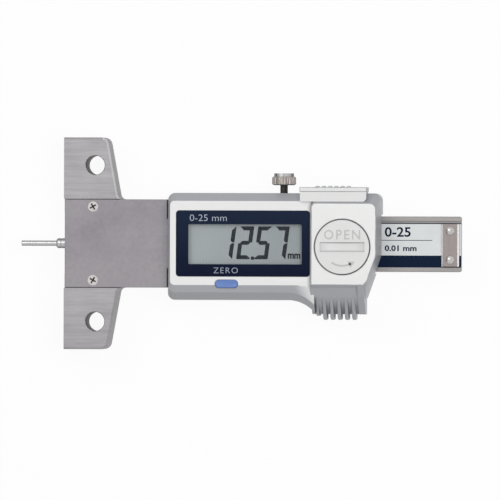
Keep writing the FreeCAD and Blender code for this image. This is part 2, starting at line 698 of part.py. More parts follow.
def make_lock_screw():
    """Clamp screw: shank to the gib, knurled head and a dished crown."""
    tip = GIB_BACK + LOCK_TIP_GAP
    head_top = LOCK_HEAD_BOTTOM + LOCK_HEAD_THICK
    crown_top = head_top + LOCK_CROWN_THICK
    shank = rod(LOCK_SHANK / 2, V(0, tip, 0), V(0, LOCK_HEAD_BOTTOM, 0))
    radius = LOCK_HEAD_DIAMETER / 2
    head = rod(radius, V(0, LOCK_HEAD_BOTTOM, 0), V(0, head_top, 0))
    head = head.makeChamfer(LOCK_HEAD_EDGE, [e for e in head.Edges if len(e.Vertexes) == 1])
    flutes = []
    for i in range(LOCK_KNURLS):
        angle = 2 * math.pi * i / LOCK_KNURLS
        reach = radius + LOCK_KNURL_DEPTH
        centre = V(reach * math.cos(angle), LOCK_HEAD_BOTTOM - PAST, reach * math.sin(angle))
        flutes.append(Part.makeCylinder(2 * LOCK_KNURL_DEPTH, LOCK_HEAD_THICK + 2 * PAST, centre, AXIS_Y))
    head = head.cut(flutes)
    crown = rod(LOCK_CROWN_DIAMETER / 2, V(0, head_top, 0), V(0, crown_top, 0))
    dish_centre = V(0, crown_top - LOCK_DISH_DEPTH + LOCK_DISH_RADIUS, 0)
    crown = crown.cut(Part.makeSphere(LOCK_DISH_RADIUS, dish_centre))
    whole = shank.multiFuse([head, crown]).removeSplitter()
    return placed(whole, LOCK_X, 0, 0)


def outer_levels():
    """Outline of the display half of the case at each height."""
    climb = (CASE_BEVEL - CASE_SHOULDER) / (CASE_FACE - CASE_SHOULDER)
    shoulder_top = CASE_TOP - (CASE_TOP - FACE_TOP) * climb
    end = COMPARTMENT_START + CASE_OVERLAP
    return [
        (CASE_BACK, rectangle(CASE_START, end, CASE_BOTTOM, CASE_TOP, CASE_CORNER)),
        (CASE_SHOULDER, rectangle(CASE_START + SHOULDER_INSET, end, CASE_BOTTOM, CASE_TOP, CASE_CORNER)),
        (CASE_BEVEL, rectangle(CASE_START + BEVEL_INSET, end, BEVEL_BOTTOM, shoulder_top, BEVEL_CORNER)),
        (CASE_FACE, rectangle(CASE_START + FACE_INSET, end, FACE_BOTTOM, FACE_TOP, FACE_CORNER)),
    ]


def slanted_x(end, low):
    """X place where the slanted side of the battery end meets its lower edge."""
    return end - SLANT_SLOPE * (SLANT_TOP_Y - low)


def make_case_body():
    """Outer form of the case before it is hollowed."""
    display_half = plan_loft(outer_levels())
    foot = [
        (COMPARTMENT_FOOT, CASE_BOTTOM, FOOT_INNER_CORNER),
        (slanted_x(CASE_END, CASE_BOTTOM), CASE_BOTTOM, SLANT_FOOT_ROUND),
        (CASE_END, SLANT_TOP_Y, SLANT_TOP_ROUND), (CASE_END, CASE_TOP, CASE_CORNER),
        (COMPARTMENT_FOOT, CASE_TOP, FOOT_INNER_CORNER),
    ]
    half = COMPARTMENT_HALF
    face = [
        (COMPARTMENT_START, -half, FOOT_INNER_CORNER),
        (slanted_x(COMPARTMENT_END, -half), -half, SLANT_FACE_ROUND),
        (COMPARTMENT_END, SLANT_TOP_Y, SLANT_TOP_ROUND), (COMPARTMENT_END, half, COMPARTMENT_CORNER),
        (COMPARTMENT_START, half, COMPARTMENT_INNER_CORNER),
    ]
    compartment = plan_loft([(CASE_SHOULDER, foot), (COMPARTMENT_FACE, face)])
    compartment = compartment.makeFillet(COMPARTMENT_LIP, edges_at(compartment, level(COMPARTMENT_FACE)))
    lower = plan_prism(foot, CASE_BACK, CASE_SHOULDER)
    return display_half.multiFuse([compartment, lower, make_grip(), make_flare()])


def make_rib(x, bottom):
    """One rib of the thumb grip: a web with a rounded outer edge, from the slope down to bottom."""
    half = RIB_WIDTH / 2
    foot = CASE_BACK + RIB_FOOT_GAP
    top_y, top_z = GRIP_SLOPE_Y + RIB_PROUD, GRIP_SLOPE_Z + RIB_PROUD
    profile = [
        (top_y, top_z, 0), (bottom, GRIP_RIDGE_Z, RIB_KNEE), (bottom, foot, 0),
        (RIB_BACK_Y, foot, 0), (RIB_ROOT_Y, RIB_ROOT_Z, 0),
    ]
    web = side_prism(profile, x - half, x + half)
    slope = (GRIP_RIDGE_Z - top_z) / (bottom - top_y)

    def outside(point):
        on_slope = top_z + slope * (point.y - top_y)
        return point.y < bottom + CLOSE or abs(point.z - on_slope) < CLOSE

    long_edges = [edge for edge in web.Edges
                  if all(outside(vertex.Point) for vertex in edge.Vertexes)
                  and abs(edge.Vertexes[0].Point.x - edge.Vertexes[-1].Point.x) < CLOSE]
    return web.makeFillet(RIB_WIDTH * RIB_ROUND, long_edges)


def make_grip():
    """Thumb grip: sloped block with ribs and a smooth post at the right."""
    block_profile = [
        (-COMPARTMENT_HALF - GRIP_EDGE, COMPARTMENT_FACE - GRIP_BROW_DROP, 0),
        (GRIP_SLOPE_Y, GRIP_SLOPE_Z, GRIP_BROW_ROUND),
        (GRIP_FLOOR_Y, GRIP_SHOULDER_Z, GRIP_SHOULDER_ROUND), (GRIP_FLOOR_Y, CASE_BACK, 0),
        (GRIP_ROOT_Y, CASE_BACK, 0), (GRIP_ROOT_Y, COMPARTMENT_FACE - GRIP_BROW_DROP, 0),
    ]
    post_low = GRIP_FLOOR_Y - GRIP_EDGE
    post_profile = [
        (-COMPARTMENT_HALF, COMPARTMENT_FACE - GRIP_EDGE, 0),
        (GRIP_SLOPE_Y + GRIP_POST_PROUD, GRIP_SLOPE_Z + 2 * GRIP_POST_PROUD, GRIP_BROW_ROUND),
        (post_low, GRIP_RIDGE_Z + GRIP_POST_PROUD, GRIP_BROW_ROUND), (post_low, CASE_BACK, 0),
        (GRIP_ROOT_Y - GRIP_EDGE, CASE_BACK, 0), (GRIP_ROOT_Y - GRIP_EDGE, COMPARTMENT_FACE - GRIP_EDGE, 0),
    ]
    post_start = GRIP_END - GRIP_POST_WIDTH
    block = side_prism(block_profile, GRIP_START, post_start + GRIP_EDGE)
    pieces = [side_prism(post_profile, post_start, GRIP_END)]
    for i in range(GRIP_RIBS):
        drop = RIB_DROP if i else RIB_DROP * FIRST_RIB_SHARE
        pieces.append(make_rib(RIB_FIRST + i * RIB_PITCH, GRIP_FLOOR_Y - drop))
    return block.multiFuse(pieces)


def flare_wire(z, start_y, bulge, end_y):
    """Outline of the flare beside the grip at one height: an arc outside, straight lines inside."""
    end_x = GRIP_START + GRIP_POST_WIDTH / 2
    middle_x = (FLARE_START + end_x) / 2
    start, end = V(FLARE_START, start_y, z), V(end_x, end_y, z)
    middle = V(middle_x, start_y - bulge, z)
    inner, corner = V(end_x, GRIP_ROOT_Y, z), V(FLARE_START, GRIP_ROOT_Y, z)
    return Part.Wire([
        Part.Arc(start, middle, end).toShape(), Part.LineSegment(end, inner).toShape(),
        Part.LineSegment(inner, corner).toShape(), Part.LineSegment(corner, start).toShape(),
    ])


def make_flare():
    """Flare that leads the lower edge of the case down to the grip, bevelled like the case."""
    low_end = GRIP_FLOOR_Y + GRIP_POST_PROUD
    wires = [
        flare_wire(CASE_BACK, CASE_BOTTOM, FLARE_BULGE, low_end),
        flare_wire(CASE_SHOULDER, CASE_BOTTOM, FLARE_BULGE, low_end),
        flare_wire(CASE_BEVEL, BEVEL_BOTTOM, FLARE_BULGE, low_end + FLARE_BEVEL),
        flare_wire(CASE_FACE, FACE_BOTTOM, 0, FACE_BOTTOM - GRIP_EDGE),
    ]
    return Part.makeLoft(wires, True, True)


def make_housing():
    """Case shell: the outer form, hollowed for frame, beam, electronics, battery, window, key and port."""
    body = make_case_body()
    half = NECK_WIDTH / 2 + LOOSE_GAP
    ledge = RAIL_TOP + GASKET_THICK
    room_half = ROOM_WIDTH / 2
    board_room = BOARD_FRONT + BOARD_HEADROOM
    cuts = [
        box(CASE_START - PAST, FRAME_END + LOOSE_GAP, -half, half, CASE_BACK - PAST, ledge),
        box(CASE_START - PAST, PLATE_END + LOOSE_GAP, -half, half, ledge, PLATE_FRONT + LOOSE_GAP),
        box(ROOM_START, ROOM_END, -room_half, room_half, ledge, ROOM_CEILING),
        box(ROOM_END - PAST, BOARD_END + LOOSE_GAP, -room_half, room_half, ledge, board_room),
        box(FRAME_END, CASE_END + PAST, CHANNEL_LOW - BEAM_EXIT_GAP, CHANNEL_HIGH + BEAM_EXIT_GAP,
            CASE_BACK - PAST, BEAM_FRONT + BEAM_EXIT_GAP),
        box(PLATE_END, ROOM_START + PAST, -TONGUE_WIDTH / 2 - LOOSE_GAP, TONGUE_WIDTH / 2 + LOOSE_GAP, ledge,
            PLATE_FRONT + LOOSE_GAP),
        box(VIEW_START - VIEW_MARGIN, VIEW_END + VIEW_MARGIN, VIEW_BOTTOM - VIEW_MARGIN,
            VIEW_TOP + VIEW_MARGIN, ROOM_CEILING - PAST, CASE_FACE + PAST),
        plan_prism(window_outline(SLIDING_GAP), WINDOW_BACK - SEAL_THICK, CASE_FACE + PAST),
        rod(LOCK_SHANK / 2 + LOOSE_GAP, V(LOCK_X, NECK_WIDTH / 2 - PAST, 0), V(LOCK_X, CASE_TOP + PAST, 0)),
    ]
    cuts += battery_cuts() + key_cuts() + [port_recess()]
    shell = body.cut(cuts)
    bosses = []
    for x, y in case_screw_places():
        bosses.append(rod(BOSS_RADIUS, V(x, y, RAIL_TOP + SEAT_GAP), V(x, y, ROOM_CEILING + BITE)))
    shell = shell.multiFuse(bosses)
    pilots = []
    top = FRAME_BACK + CASE_SCREW_LENGTH + LOOSE_GAP
    for x, y in case_screw_places():
        pilots.append(rod(CASE_SCREW_SHANK / 2 + SEAT_GAP, V(x, y, FRAME_BACK), V(x, y, top)))
    return shell.cut(pilots).removeSplitter()


def window_outline(gap):
    """Plan outline of the window, grown by a gap."""
    return rectangle(WINDOW_START - gap, WINDOW_END + gap, WINDOW_BOTTOM - gap, WINDOW_TOP + gap,
                     WINDOW_CORNER + gap)


def battery_cuts():
    """Room for the cell, the lid's flange and neck, its bayonet and the seal."""
    def disc(radius, z0, z1):
        return rod(radius, V(CELL_X, CELL_Y, z0), V(CELL_X, CELL_Y, z1))

    flange_floor = LID_TOP - LID_FLANGE_THICK - SEAT_GAP
    neck_radius = LID_NECK_DIAMETER / 2
    lug_radius = neck_radius + LUG_REACH
    groove_top = LID_BOTTOM + LUG_THICK + LUG_PLAY
    cuts = [
        disc(LID_DIAMETER / 2 + LID_RING_GAP, flange_floor, LID_TOP + PAST),
        disc(neck_radius + LID_GAP, LID_BOTTOM - LUG_PLAY, LID_TOP),
        disc(lug_radius + LUG_PLAY, LID_BOTTOM - LUG_PLAY, groove_top),
        disc(CELL_DIAMETER / 2 + CELL_GAP, CELL_FLOOR, LID_TOP),
    ]
    for i in range(LUG_COUNT):
        turn = LID_TURN + i * 360 / LUG_COUNT
        sector = lug_sector(lug_radius + LUG_PLAY, LUG_ANGLE + LUG_SIDE_PLAY, LID_BOTTOM, LID_TOP)
        cuts.append(placed(sector, CELL_X, CELL_Y, 0, AXIS_Z, turn))
    half_groove = LID_SEAL_SECTION / 2 + SEAT_GAP
    groove = disc(LID_SEAL_RADIUS + half_groove, flange_floor - 2 * half_groove, flange_floor + BITE)
    core = disc(LID_SEAL_RADIUS - half_groove, flange_floor - PAST, flange_floor + PAST)
    cuts.append(groove.cut(core))
    leaf_room = LEAF_WIDTH / 2 + SLIDING_GAP
    cuts.append(box(*plus_leaf_span(), CELL_Y - leaf_room, CELL_Y + leaf_room,
                    CELL_FLOOR - SLIDING_GAP, CELL_BOTTOM + LEAF_RISE + LOOSE_GAP))
    return cuts


def plus_leaf_span():
    """X span of the pocket for the contact at the cell's side."""
    near = CELL_X - CELL_DIAMETER / 2
    return near - LEAF_FOOT - LOOSE_GAP, near


def lug_sector(radius, degrees, z0, z1):
    """Sector of a disc, centred on +X."""
    wedge = Part.makeCylinder(radius, z1 - z0, V(0, 0, z0), AXIS_Z, degrees)
    wedge.rotate(V(0, 0, 0), AXIS_Z, -degrees / 2)
    return wedge


def make_battery_lid():
    """Coin-slot lid: flange, neck with three bayonet lugs, scooped slot."""
    neck_radius = LID_NECK_DIAMETER / 2
    flange_bottom = LID_TOP - LID_FLANGE_THICK
    lid = rod(LID_DIAMETER / 2, V(0, 0, flange_bottom), V(0, 0, LID_TOP))
    lid = lid.makeFillet(LID_EDGE, edges_at(lid, level(LID_TOP)))
    neck = rod(neck_radius, V(0, 0, LID_BOTTOM), V(0, 0, flange_bottom + BITE))
    lugs = []
    for i in range(LUG_COUNT):
        lug = lug_sector(neck_radius + LUG_REACH, LUG_ANGLE, LID_BOTTOM, LID_BOTTOM + LUG_THICK)
        lugs.append(placed(lug, 0, 0, 0, AXIS_Z, i * 360 / LUG_COUNT))
    lid = lid.multiFuse([neck] + lugs)
    half_length = LID_SLOT_LENGTH / 2
    half_width = LID_SLOT_WIDTH / 2
    end_floor = LID_TOP - LID_SLOT_END_DEPTH
    shallow = box(-half_length, half_length, -half_width, half_width, end_floor, LID_TOP + PAST)
    sag = LID_SLOT_DEPTH - LID_SLOT_END_DEPTH
    scoop_radius = (half_length ** 2 + sag ** 2) / (2 * sag)
    centre_z = LID_TOP - LID_SLOT_DEPTH + scoop_radius
    scoop = rod(scoop_radius, V(0, -half_width, centre_z), V(0, half_width, centre_z))
    scoop = scoop.common(box(-half_length, half_length, -half_width, half_width, LID_BOTTOM, LID_TOP + PAST))
    return placed(lid.cut([shallow, scoop]).removeSplitter(), CELL_X, CELL_Y, 0)


def make_lid_seal():
    """Square-section sealing ring under the lid's flange."""
    top = LID_TOP - LID_FLANGE_THICK - 2 * SEAT_GAP
    half = LID_SEAL_SECTION / 2
    low, high = V(CELL_X, CELL_Y, top - LID_SEAL_SECTION), V(CELL_X, CELL_Y, top)
    return rod(LID_SEAL_RADIUS + half, low, high).cut(rod(LID_SEAL_RADIUS - half, low, high))


def key_cuts():
    """Room for the key, its flange and its stem."""
    gap = SLIDING_GAP
    flange = 2 * KEY_FLANGE + 2 * gap
    flange_low = ROOM_CEILING - KEY_FLANGE_THICK - KEY_TRAVEL - LOOSE_GAP
    return [
        pill(KEY_X, KEY_Y, KEY_LENGTH + 2 * gap, KEY_WIDTH + 2 * gap, ROOM_CEILING - PAST, CASE_FACE + PAST),
        pill(KEY_X, KEY_Y, KEY_LENGTH + flange, KEY_WIDTH + flange, flange_low, ROOM_CEILING),
    ]


def make_zero_key():
    """Key: crowned pill with a retaining flange and a stem that reaches the switch."""
    top = CASE_FACE + KEY_PROUD
    flange_top = ROOM_CEILING - SEAT_GAP
    cap = pill(KEY_X, KEY_Y, KEY_LENGTH, KEY_WIDTH, flange_top - BITE, top)
    cap = cap.makeFillet(KEY_CROWN, edges_at(cap, level(top)))
    flange = pill(KEY_X, KEY_Y, KEY_LENGTH + 2 * KEY_FLANGE, KEY_WIDTH + 2 * KEY_FLANGE,
                  flange_top - KEY_FLANGE_THICK, flange_top)
    stem = rod(KEY_STEM, V(KEY_X, KEY_STEM_Y, SWITCH_TOP + KEY_TRAVEL + SEAT_GAP),
               V(KEY_X, KEY_STEM_Y, flange_top - KEY_FLANGE_THICK))
    return cap.multiFuse([flange, stem]).removeSplitter()


def make_button_switch():
    """Low dome switch on the board under the key's stem."""
    base_top = BOARD_FRONT + SEAT_GAP + SWITCH_BASE
    body = box(KEY_X - SWITCH_HALF, KEY_X + SWITCH_HALF, KEY_STEM_Y - SWITCH_HALF, KEY_STEM_Y + SWITCH_HALF,
               BOARD_FRONT + SEAT_GAP, base_top)
    rise = SWITCH_TOP - base_top
    sphere_radius = (SWITCH_DOME ** 2 + rise ** 2) / (2 * rise)
    sphere = Part.makeSphere(sphere_radius, V(KEY_X, KEY_STEM_Y, SWITCH_TOP - sphere_radius))
    core = rod(SWITCH_DOME, V(KEY_X, KEY_STEM_Y, base_top - SEAT_GAP), V(KEY_X, KEY_STEM_Y, SWITCH_TOP))
    dome = sphere.common(core)
    return body.fuse(dome)


def make_display_window():
    """Glossy window over the display."""
    pane = plan_prism(window_outline(0), WINDOW_BACK, WINDOW_BACK + WINDOW_THICK)
    return pane.makeChamfer(WINDOW_EDGE, edges_at(pane, level(WINDOW_BACK + WINDOW_THICK)))


def make_window_seal():
    """Adhesive frame between window and case."""
    outline = plan_prism(window_outline(-SEAL_INSET), WINDOW_BACK - SEAL_THICK, WINDOW_BACK)
    margin = VIEW_MARGIN + SEAL_MARGIN
    hole = box(VIEW_START - margin, VIEW_END + margin, VIEW_BOTTOM - margin, VIEW_TOP + margin,
               WINDOW_BACK - PAST, WINDOW_BACK + PAST)
    return outline.cut(hole)


def make_display_panel():
    """Liquid crystal panel: two glasses, the back one longer."""
    split = PANEL_BACK + PANEL_THICK / 2
    back = box(PANEL_START, PANEL_END, -PANEL_HALF, PANEL_HALF, PANEL_BACK, split)
    front_half = PANEL_HALF - PANEL_LEDGE
    front = box(PANEL_START, PANEL_END, -front_half, front_half, split, PANEL_FRONT)
    return back.fuse(front)


def make_display_connectors():
    """Two elastomer strips between board and panel."""
    strips = []
    start = BOARD_START + STRIP_INSET
    for side in (-1, 1):
        y = side * (PANEL_HALF - STRIP_INSET - STRIP_WIDTH / 2)
        strips.append(box(start, PANEL_END - STRIP_INSET, y - STRIP_WIDTH / 2, y + STRIP_WIDTH / 2,
                          BOARD_FRONT + SEAT_GAP, PANEL_BACK - SEAT_GAP))
    return strips


def make_circuit_board():
    """Board that carries the reading head over the scale, notched round the case's bosses."""
    board = box(BOARD_START, BOARD_END, -BOARD_HALF, BOARD_HALF, BOARD_BACK, BOARD_FRONT)
    notches = []
    for x, y in case_screw_places():
        outward = math.copysign(NOTCH_REACH, y)
        notch = rod(BOSS_RADIUS + LOOSE_GAP, V(x, y, BOARD_BACK - PAST), V(x, y, BOARD_FRONT + PAST))
        low, high = sorted((y, y + outward))
        wide = BOSS_RADIUS + LOOSE_GAP
        notches.append(notch.fuse(box(x - wide, x + wide, low, high, BOARD_BACK - PAST, BOARD_FRONT + PAST)))
    return board.cut(notches).removeSplitter()


def make_signal_chip():
    """Square chip on the board."""
    half = CHIP_SIZE / 2
    bottom = BOARD_FRONT + SEAT_GAP
    chip = box(CHIP_X - half, CHIP_X + half, -half, half, bottom, bottom + CHIP_THICK)
    return chip.makeChamfer(CHIP_EDGE, edges_at(chip, level(bottom + CHIP_THICK)))


def make_battery_cell():
    """Button cell: wide can above a narrower rim."""
    can = rod(CELL_DIAMETER / 2, V(CELL_X, CELL_Y, CELL_BOTTOM + CELL_RIM_THICK), V(CELL_X, CELL_Y, CELL_TOP))
    can = can.makeFillet(CELL_EDGE, edges_at(can, level(CELL_TOP)))
    rim_radius = CELL_DIAMETER / 2 - CELL_RIM_STEP
    rim = rod(rim_radius, V(CELL_X, CELL_Y, CELL_BOTTOM), V(CELL_X, CELL_Y, CELL_BOTTOM + CELL_RIM_THICK))
    return can.fuse(rim)


def make_contact_minus():
    """Spring leaf under the cell: a foot on the board and a raised tongue."""
    start, end = CELL_X - TONGUE_FOOT, CELL_X + TONGUE_END
    foot_end = CELL_X - TONGUE_BEND
    crest = CELL_X + TONGUE_CREST
    low = BOARD_FRONT + SEAT_GAP
    high = CELL_BOTTOM - SEAT_GAP
    profile = [
        (start, low), (foot_end, low), (crest, high - LEAF_THICK), (end, high - LEAF_THICK),
        (end, high), (crest - LEAF_THICK, high), (foot_end - LEAF_THICK, low + LEAF_THICK),
        (start, low + LEAF_THICK),
    ]
    points = [V(x, CELL_Y - LEAF_WIDTH / 2, z) for x, z in profile]
    face = Part.Face(Part.makePolygon(points + [points[0]]))
    return face.extrude(V(0, LEAF_WIDTH, 0))


def make_contact_plus():
    """Spring leaf that stands at the cell's side, with its foot on the board."""
    near = CELL_X - CELL_DIAMETER / 2 - SEAT_GAP
    low = BOARD_FRONT + SEAT_GAP
    half = LEAF_WIDTH / 2
    upright = box(near - LEAF_THICK, near, CELL_Y - half, CELL_Y + half, low, CELL_BOTTOM + LEAF_RISE)
    foot = box(near - LEAF_FOOT, near, CELL_Y - half, CELL_Y + half, low, low + LEAF_THICK)
    return upright.fuse(foot).removeSplitter()


def port_recess():
    """Opening in the top of the case behind the port cap."""
    return box(PORT_START + PORT_ROOM_INSET, PORT_END - PORT_ROOM_INSET, CASE_TOP - PORT_DEPTH,
               CASE_TOP + PAST, PORT_ROOM_LOW, PORT_ROOM_HIGH)


def make_port_cap():
    """Cap over the data port: ridged top plate and a front skirt that follows the case."""
    plate = box(PORT_START, PORT_END, PORT_SKIRT_TOP, PORT_TOP, PORT_BACK, PORT_FACE)
    plate = plate.makeFillet(PORT_EDGE, [e for e in plate.Edges if abs(e.CenterOfMass.z - PORT_FACE) < CLOSE])
    skirt_end = PORT_END - PORT_SKIRT_INSET
    skirt = box(PORT_START + PORT_SKIRT_INSET, skirt_end, PORT_SKIRT_LOW, PORT_SKIRT_TOP,
                PORT_BACK + PORT_RIDGE_INSET, PORT_FACE - PORT_SKIRT_INSET)
    corner = [e for e in skirt.Edges if abs(e.CenterOfMass.x - skirt_end) < CLOSE
              and abs(e.CenterOfMass.y - PORT_SKIRT_LOW) < CLOSE]
    skirt = skirt.makeFillet(PORT_CORNER, corner)
    ridges = []
    sunk = PORT_TOP - BITE
    for i in range(PORT_RIDGES):
        x = PORT_RIDGE_FIRST + i * PORT_RIDGE_PITCH
        start, end = V(x, sunk, PORT_BACK + PORT_RIDGE_INSET), V(x, sunk, PORT_FACE - PORT_RIDGE_INSET)
        ridges.append(rod(PORT_RIDGE_RADIUS, start, end))
    inset = PORT_ROOM_INSET + SLIDING_GAP
    plug = box(PORT_START + inset, PORT_END - inset, CASE_TOP - PORT_PLUG_DEPTH, PORT_TOP - PORT_PLUG_ROOT,
               PORT_ROOM_LOW + SLIDING_GAP, PORT_ROOM_HIGH - SLIDING_GAP)
    cap = plate.multiFuse([skirt] + ridges)
    return cap.cut(make_case_body()).fuse(plug).removeSplitter()


def make_port_contacts():
    """Contact strip at the bottom of the port recess."""
    floor = CASE_TOP - PORT_DEPTH + SEAT_GAP
    centre = (PORT_START + PORT_END) / 2
    middle = (PORT_ROOM_LOW + PORT_ROOM_HIGH) / 2
    length, thick, height = CONTACT_STRIP
    wide, rise, tall = CONTACT_PAD
    strip = box(centre - length / 2, centre + length / 2, floor, floor + thick,
                middle - height / 2, middle + height / 2)
    pads = []
    for i in range(CONTACT_COUNT):
        x = centre + (i - (CONTACT_COUNT - 1) / 2) * CONTACT_PITCH
        pads.append(box(x - wide / 2, x + wide / 2, floor + thick - BITE, floor + thick + rise,
                        middle - tall / 2, middle + tall / 2))
    return strip.multiFuse(pads).removeSplitter()


def make_case_screws():
    """Four countersunk screws from the back into the case."""
    screw = countersunk_screw(CASE_SCREW_HEAD, CASE_SCREW_SHANK, CASE_SCREW_LENGTH)
    return [placed(screw, x, y, FRAME_BACK + SEAT_GAP, AXIS_X, 180) for x, y in case_screw_places()]


def make_case_gaskets():
    """Two seal strips between the rails and the ledge of the case."""
    inner = ROOM_WIDTH / 2 + RUNNING_FIT
    outer = NECK_WIDTH / 2 - SLIDING_GAP
    strips = []
    bottom = RAIL_TOP + SEAT_GAP
    wide = BOSS_RADIUS + SLIDING_GAP
    notches = [rod(wide, V(x, y, 0), V(x, y, BOARD_FRONT)) for x, y in case_screw_places()]
    for side in (-1, 1):
        low, high = sorted((side * inner, side * outer))
        strip = box(BOARD_START, BOARD_END, low, high, bottom, RAIL_TOP + GASKET_THICK - SEAT_GAP)
        strips.append(strip.cut(notches))
    return strips


def make_beam():
    """Beam with bevelled edges, the recess for scale and label, and the holes at both ends."""
    half = BEAM_WIDTH / 2
    beam = box(BEAM_START, BEAM_END, -half, half, BEAM_BACK, BEAM_FRONT)
    corners = [e for e in beam.Edges
               if abs(e.CenterOfMass.x - BEAM_END) < CLOSE and abs(e.Length - BEAM_THICK) < CLOSE]
    beam = beam.makeFillet(BEAM_CORNER, corners)
    long_edges = [e for e in beam.Edges if e.Length > BEAM_LENGTH / 2]
    beam = beam.makeChamfer(BEAM_EDGE, long_edges)
    recess_half = SCALE_RECESS_WIDTH / 2
    recess = box(BEAM_START + LABEL_START - SLIDING_GAP, BEAM_END + PAST, -recess_half, recess_half,
                 BEAM_FRONT - SCALE_RECESS_DEPTH, BEAM_FRONT + PAST)
    stud_hole = rod(STUD_DIAMETER / 2 + SEAT_GAP, V(BEAM_START - PAST, 0, 0),
                    V(BEAM_START + STUD_LENGTH + LOOSE_GAP, 0, 0))
    return beam.cut([recess, stud_hole] + stopper_screw_holes())


def stopper_centre():
    """X place of the stopper's screws."""
    return BEAM_END - STOPPER_END_GAP - STOPPER_LENGTH / 2


def stopper_screw_ys():
    """Y places of the stopper's screws."""
    middle = LABEL_LOW + LABEL_WIDTH / 2
    return [middle - STOPPER_SCREW_SPACING / 2, middle + STOPPER_SCREW_SPACING / 2]


def stopper_screw_holes():
    """Through holes for the stopper's screws, from the beam's back to above the plate."""
    x = stopper_centre()
    wide = STOPPER_SCREW_SHANK / 2 + SEAT_GAP
    top = BEAM_FRONT + STOPPER_THICK + 1
    return [rod(wide, V(x, y, BEAM_BACK - PAST), V(x, y, top)) for y in stopper_screw_ys()]


def make_scale_strip():
    """Capacitive scale bonded into the beam's recess."""
    floor = BEAM_FRONT - SCALE_RECESS_DEPTH
    return box(BEAM_START + LABEL_START, BEAM_END - SCALE_END_MARGIN, -SCALE_WIDTH / 2, SCALE_WIDTH / 2,
               floor + SEAT_GAP, floor + SEAT_GAP + SCALE_THICK)


def make_beam_label():
    """Printed foil over the scale."""
    foil = box(BEAM_START + LABEL_START, BEAM_END - SEAT_GAP, LABEL_LOW, LABEL_LOW + LABEL_WIDTH,
               BEAM_FRONT - LABEL_THICK, BEAM_FRONT)
    return foil.cut(stopper_screw_holes())


def make_stopper_plate():
    """Stop plate across the beam's far end."""
    x0 = BEAM_END - STOPPER_END_GAP - STOPPER_LENGTH
    bottom = BEAM_FRONT + SEAT_GAP
    middle = LABEL_LOW + LABEL_WIDTH / 2
    half = STOPPER_WIDTH / 2
    plate = box(x0, x0 + STOPPER_LENGTH, middle - half, middle + half, bottom, bottom + STOPPER_THICK)
    top_edges = edges_at(plate, level(bottom + STOPPER_THICK))
    long_edges = [e for e in top_edges if abs(e.Length - STOPPER_WIDTH) < CLOSE]
    plate = plate.makeChamfer(STOPPER_EDGE, long_edges)
    return plate.cut(stopper_screw_holes())


def make_stopper_screws():
    """Two round-head screws of the stopper."""
    seat = BEAM_FRONT + STOPPER_THICK + 2 * SEAT_GAP
    radius = STOPPER_SCREW_HEAD / 2
    sphere_radius = (radius ** 2 + STOPPER_SCREW_RISE ** 2) / (2 * STOPPER_SCREW_RISE)
    dome = Part.makeSphere(sphere_radius, V(0, 0, seat + STOPPER_SCREW_RISE - sphere_radius))
    head = dome.common(rod(radius, V(0, 0, seat), V(0, 0, seat + STOPPER_SCREW_RISE)))
    shank = rod(STOPPER_SCREW_SHANK / 2, V(0, 0, seat - STOPPER_SCREW_LENGTH), V(0, 0, seat))
    screw = head.fuse(shank).removeSplitter()
    return [placed(screw, stopper_centre(), y, 0) for y in stopper_screw_ys()]


def make_probe_rod():
    """Stepped carrier: threaded stud in the beam, guided rod, bore for the pin."""
    radius = ROD_DIAMETER / 2
    shoulder = BEAM_START - SEAT_GAP
    profile = [
        V(ROD_END_X, 0, 0), V(ROD_END_X, radius - ROD_EDGE, 0), V(ROD_END_X + ROD_EDGE, radius, 0),
        V(ROD_END_X + ROD_GROOVE_FROM_END, radius, 0),
        V(ROD_END_X + ROD_GROOVE_FROM_END, radius - ROD_GROOVE_DEPTH, 0),
        V(ROD_END_X + ROD_GROOVE_FROM_END + ROD_GROOVE_WIDTH, radius - ROD_GROOVE_DEPTH, 0),
        V(ROD_END_X + ROD_GROOVE_FROM_END + ROD_GROOVE_WIDTH, radius, 0),
        V(shoulder, radius, 0), V(shoulder, STUD_DIAMETER / 2, 0),
        V(BEAM_START + STUD_LENGTH, STUD_DIAMETER / 2, 0), V(BEAM_START + STUD_LENGTH, 0, 0),
    ]
    face = Part.Face(Part.makePolygon(profile + [profile[0]]))
    turned = face.revolve(V(0, 0, 0), AXIS_X, 360)
    bore = rod(PIN_SHANK_DIAMETER / 2 + SEAT_GAP, V(ROD_END_X - PAST, 0, 0),
               V(ROD_END_X + PIN_SHANK_LENGTH, 0, 0))
    return turned.cut(bore)


def make_probe_pin():
    """Measuring pin with a thinner shank that sits in the rod."""
    shoulder = V(ROD_END_X - SEAT_GAP, 0, 0)
    pin = rod(PIN_DIAMETER / 2, V(PIN_TIP_X, 0, 0), shoulder)
    tip = [e for e in pin.Edges if abs(e.CenterOfMass.x - PIN_TIP_X) < CLOSE and len(e.Vertexes) == 1]
    pin = pin.makeChamfer(PIN_EDGE, tip)
    shank = rod(PIN_SHANK_DIAMETER / 2, shoulder, V(ROD_END_X + PIN_SHANK_LENGTH - SEAT_GAP, 0, 0))
    return pin.fuse(shank)


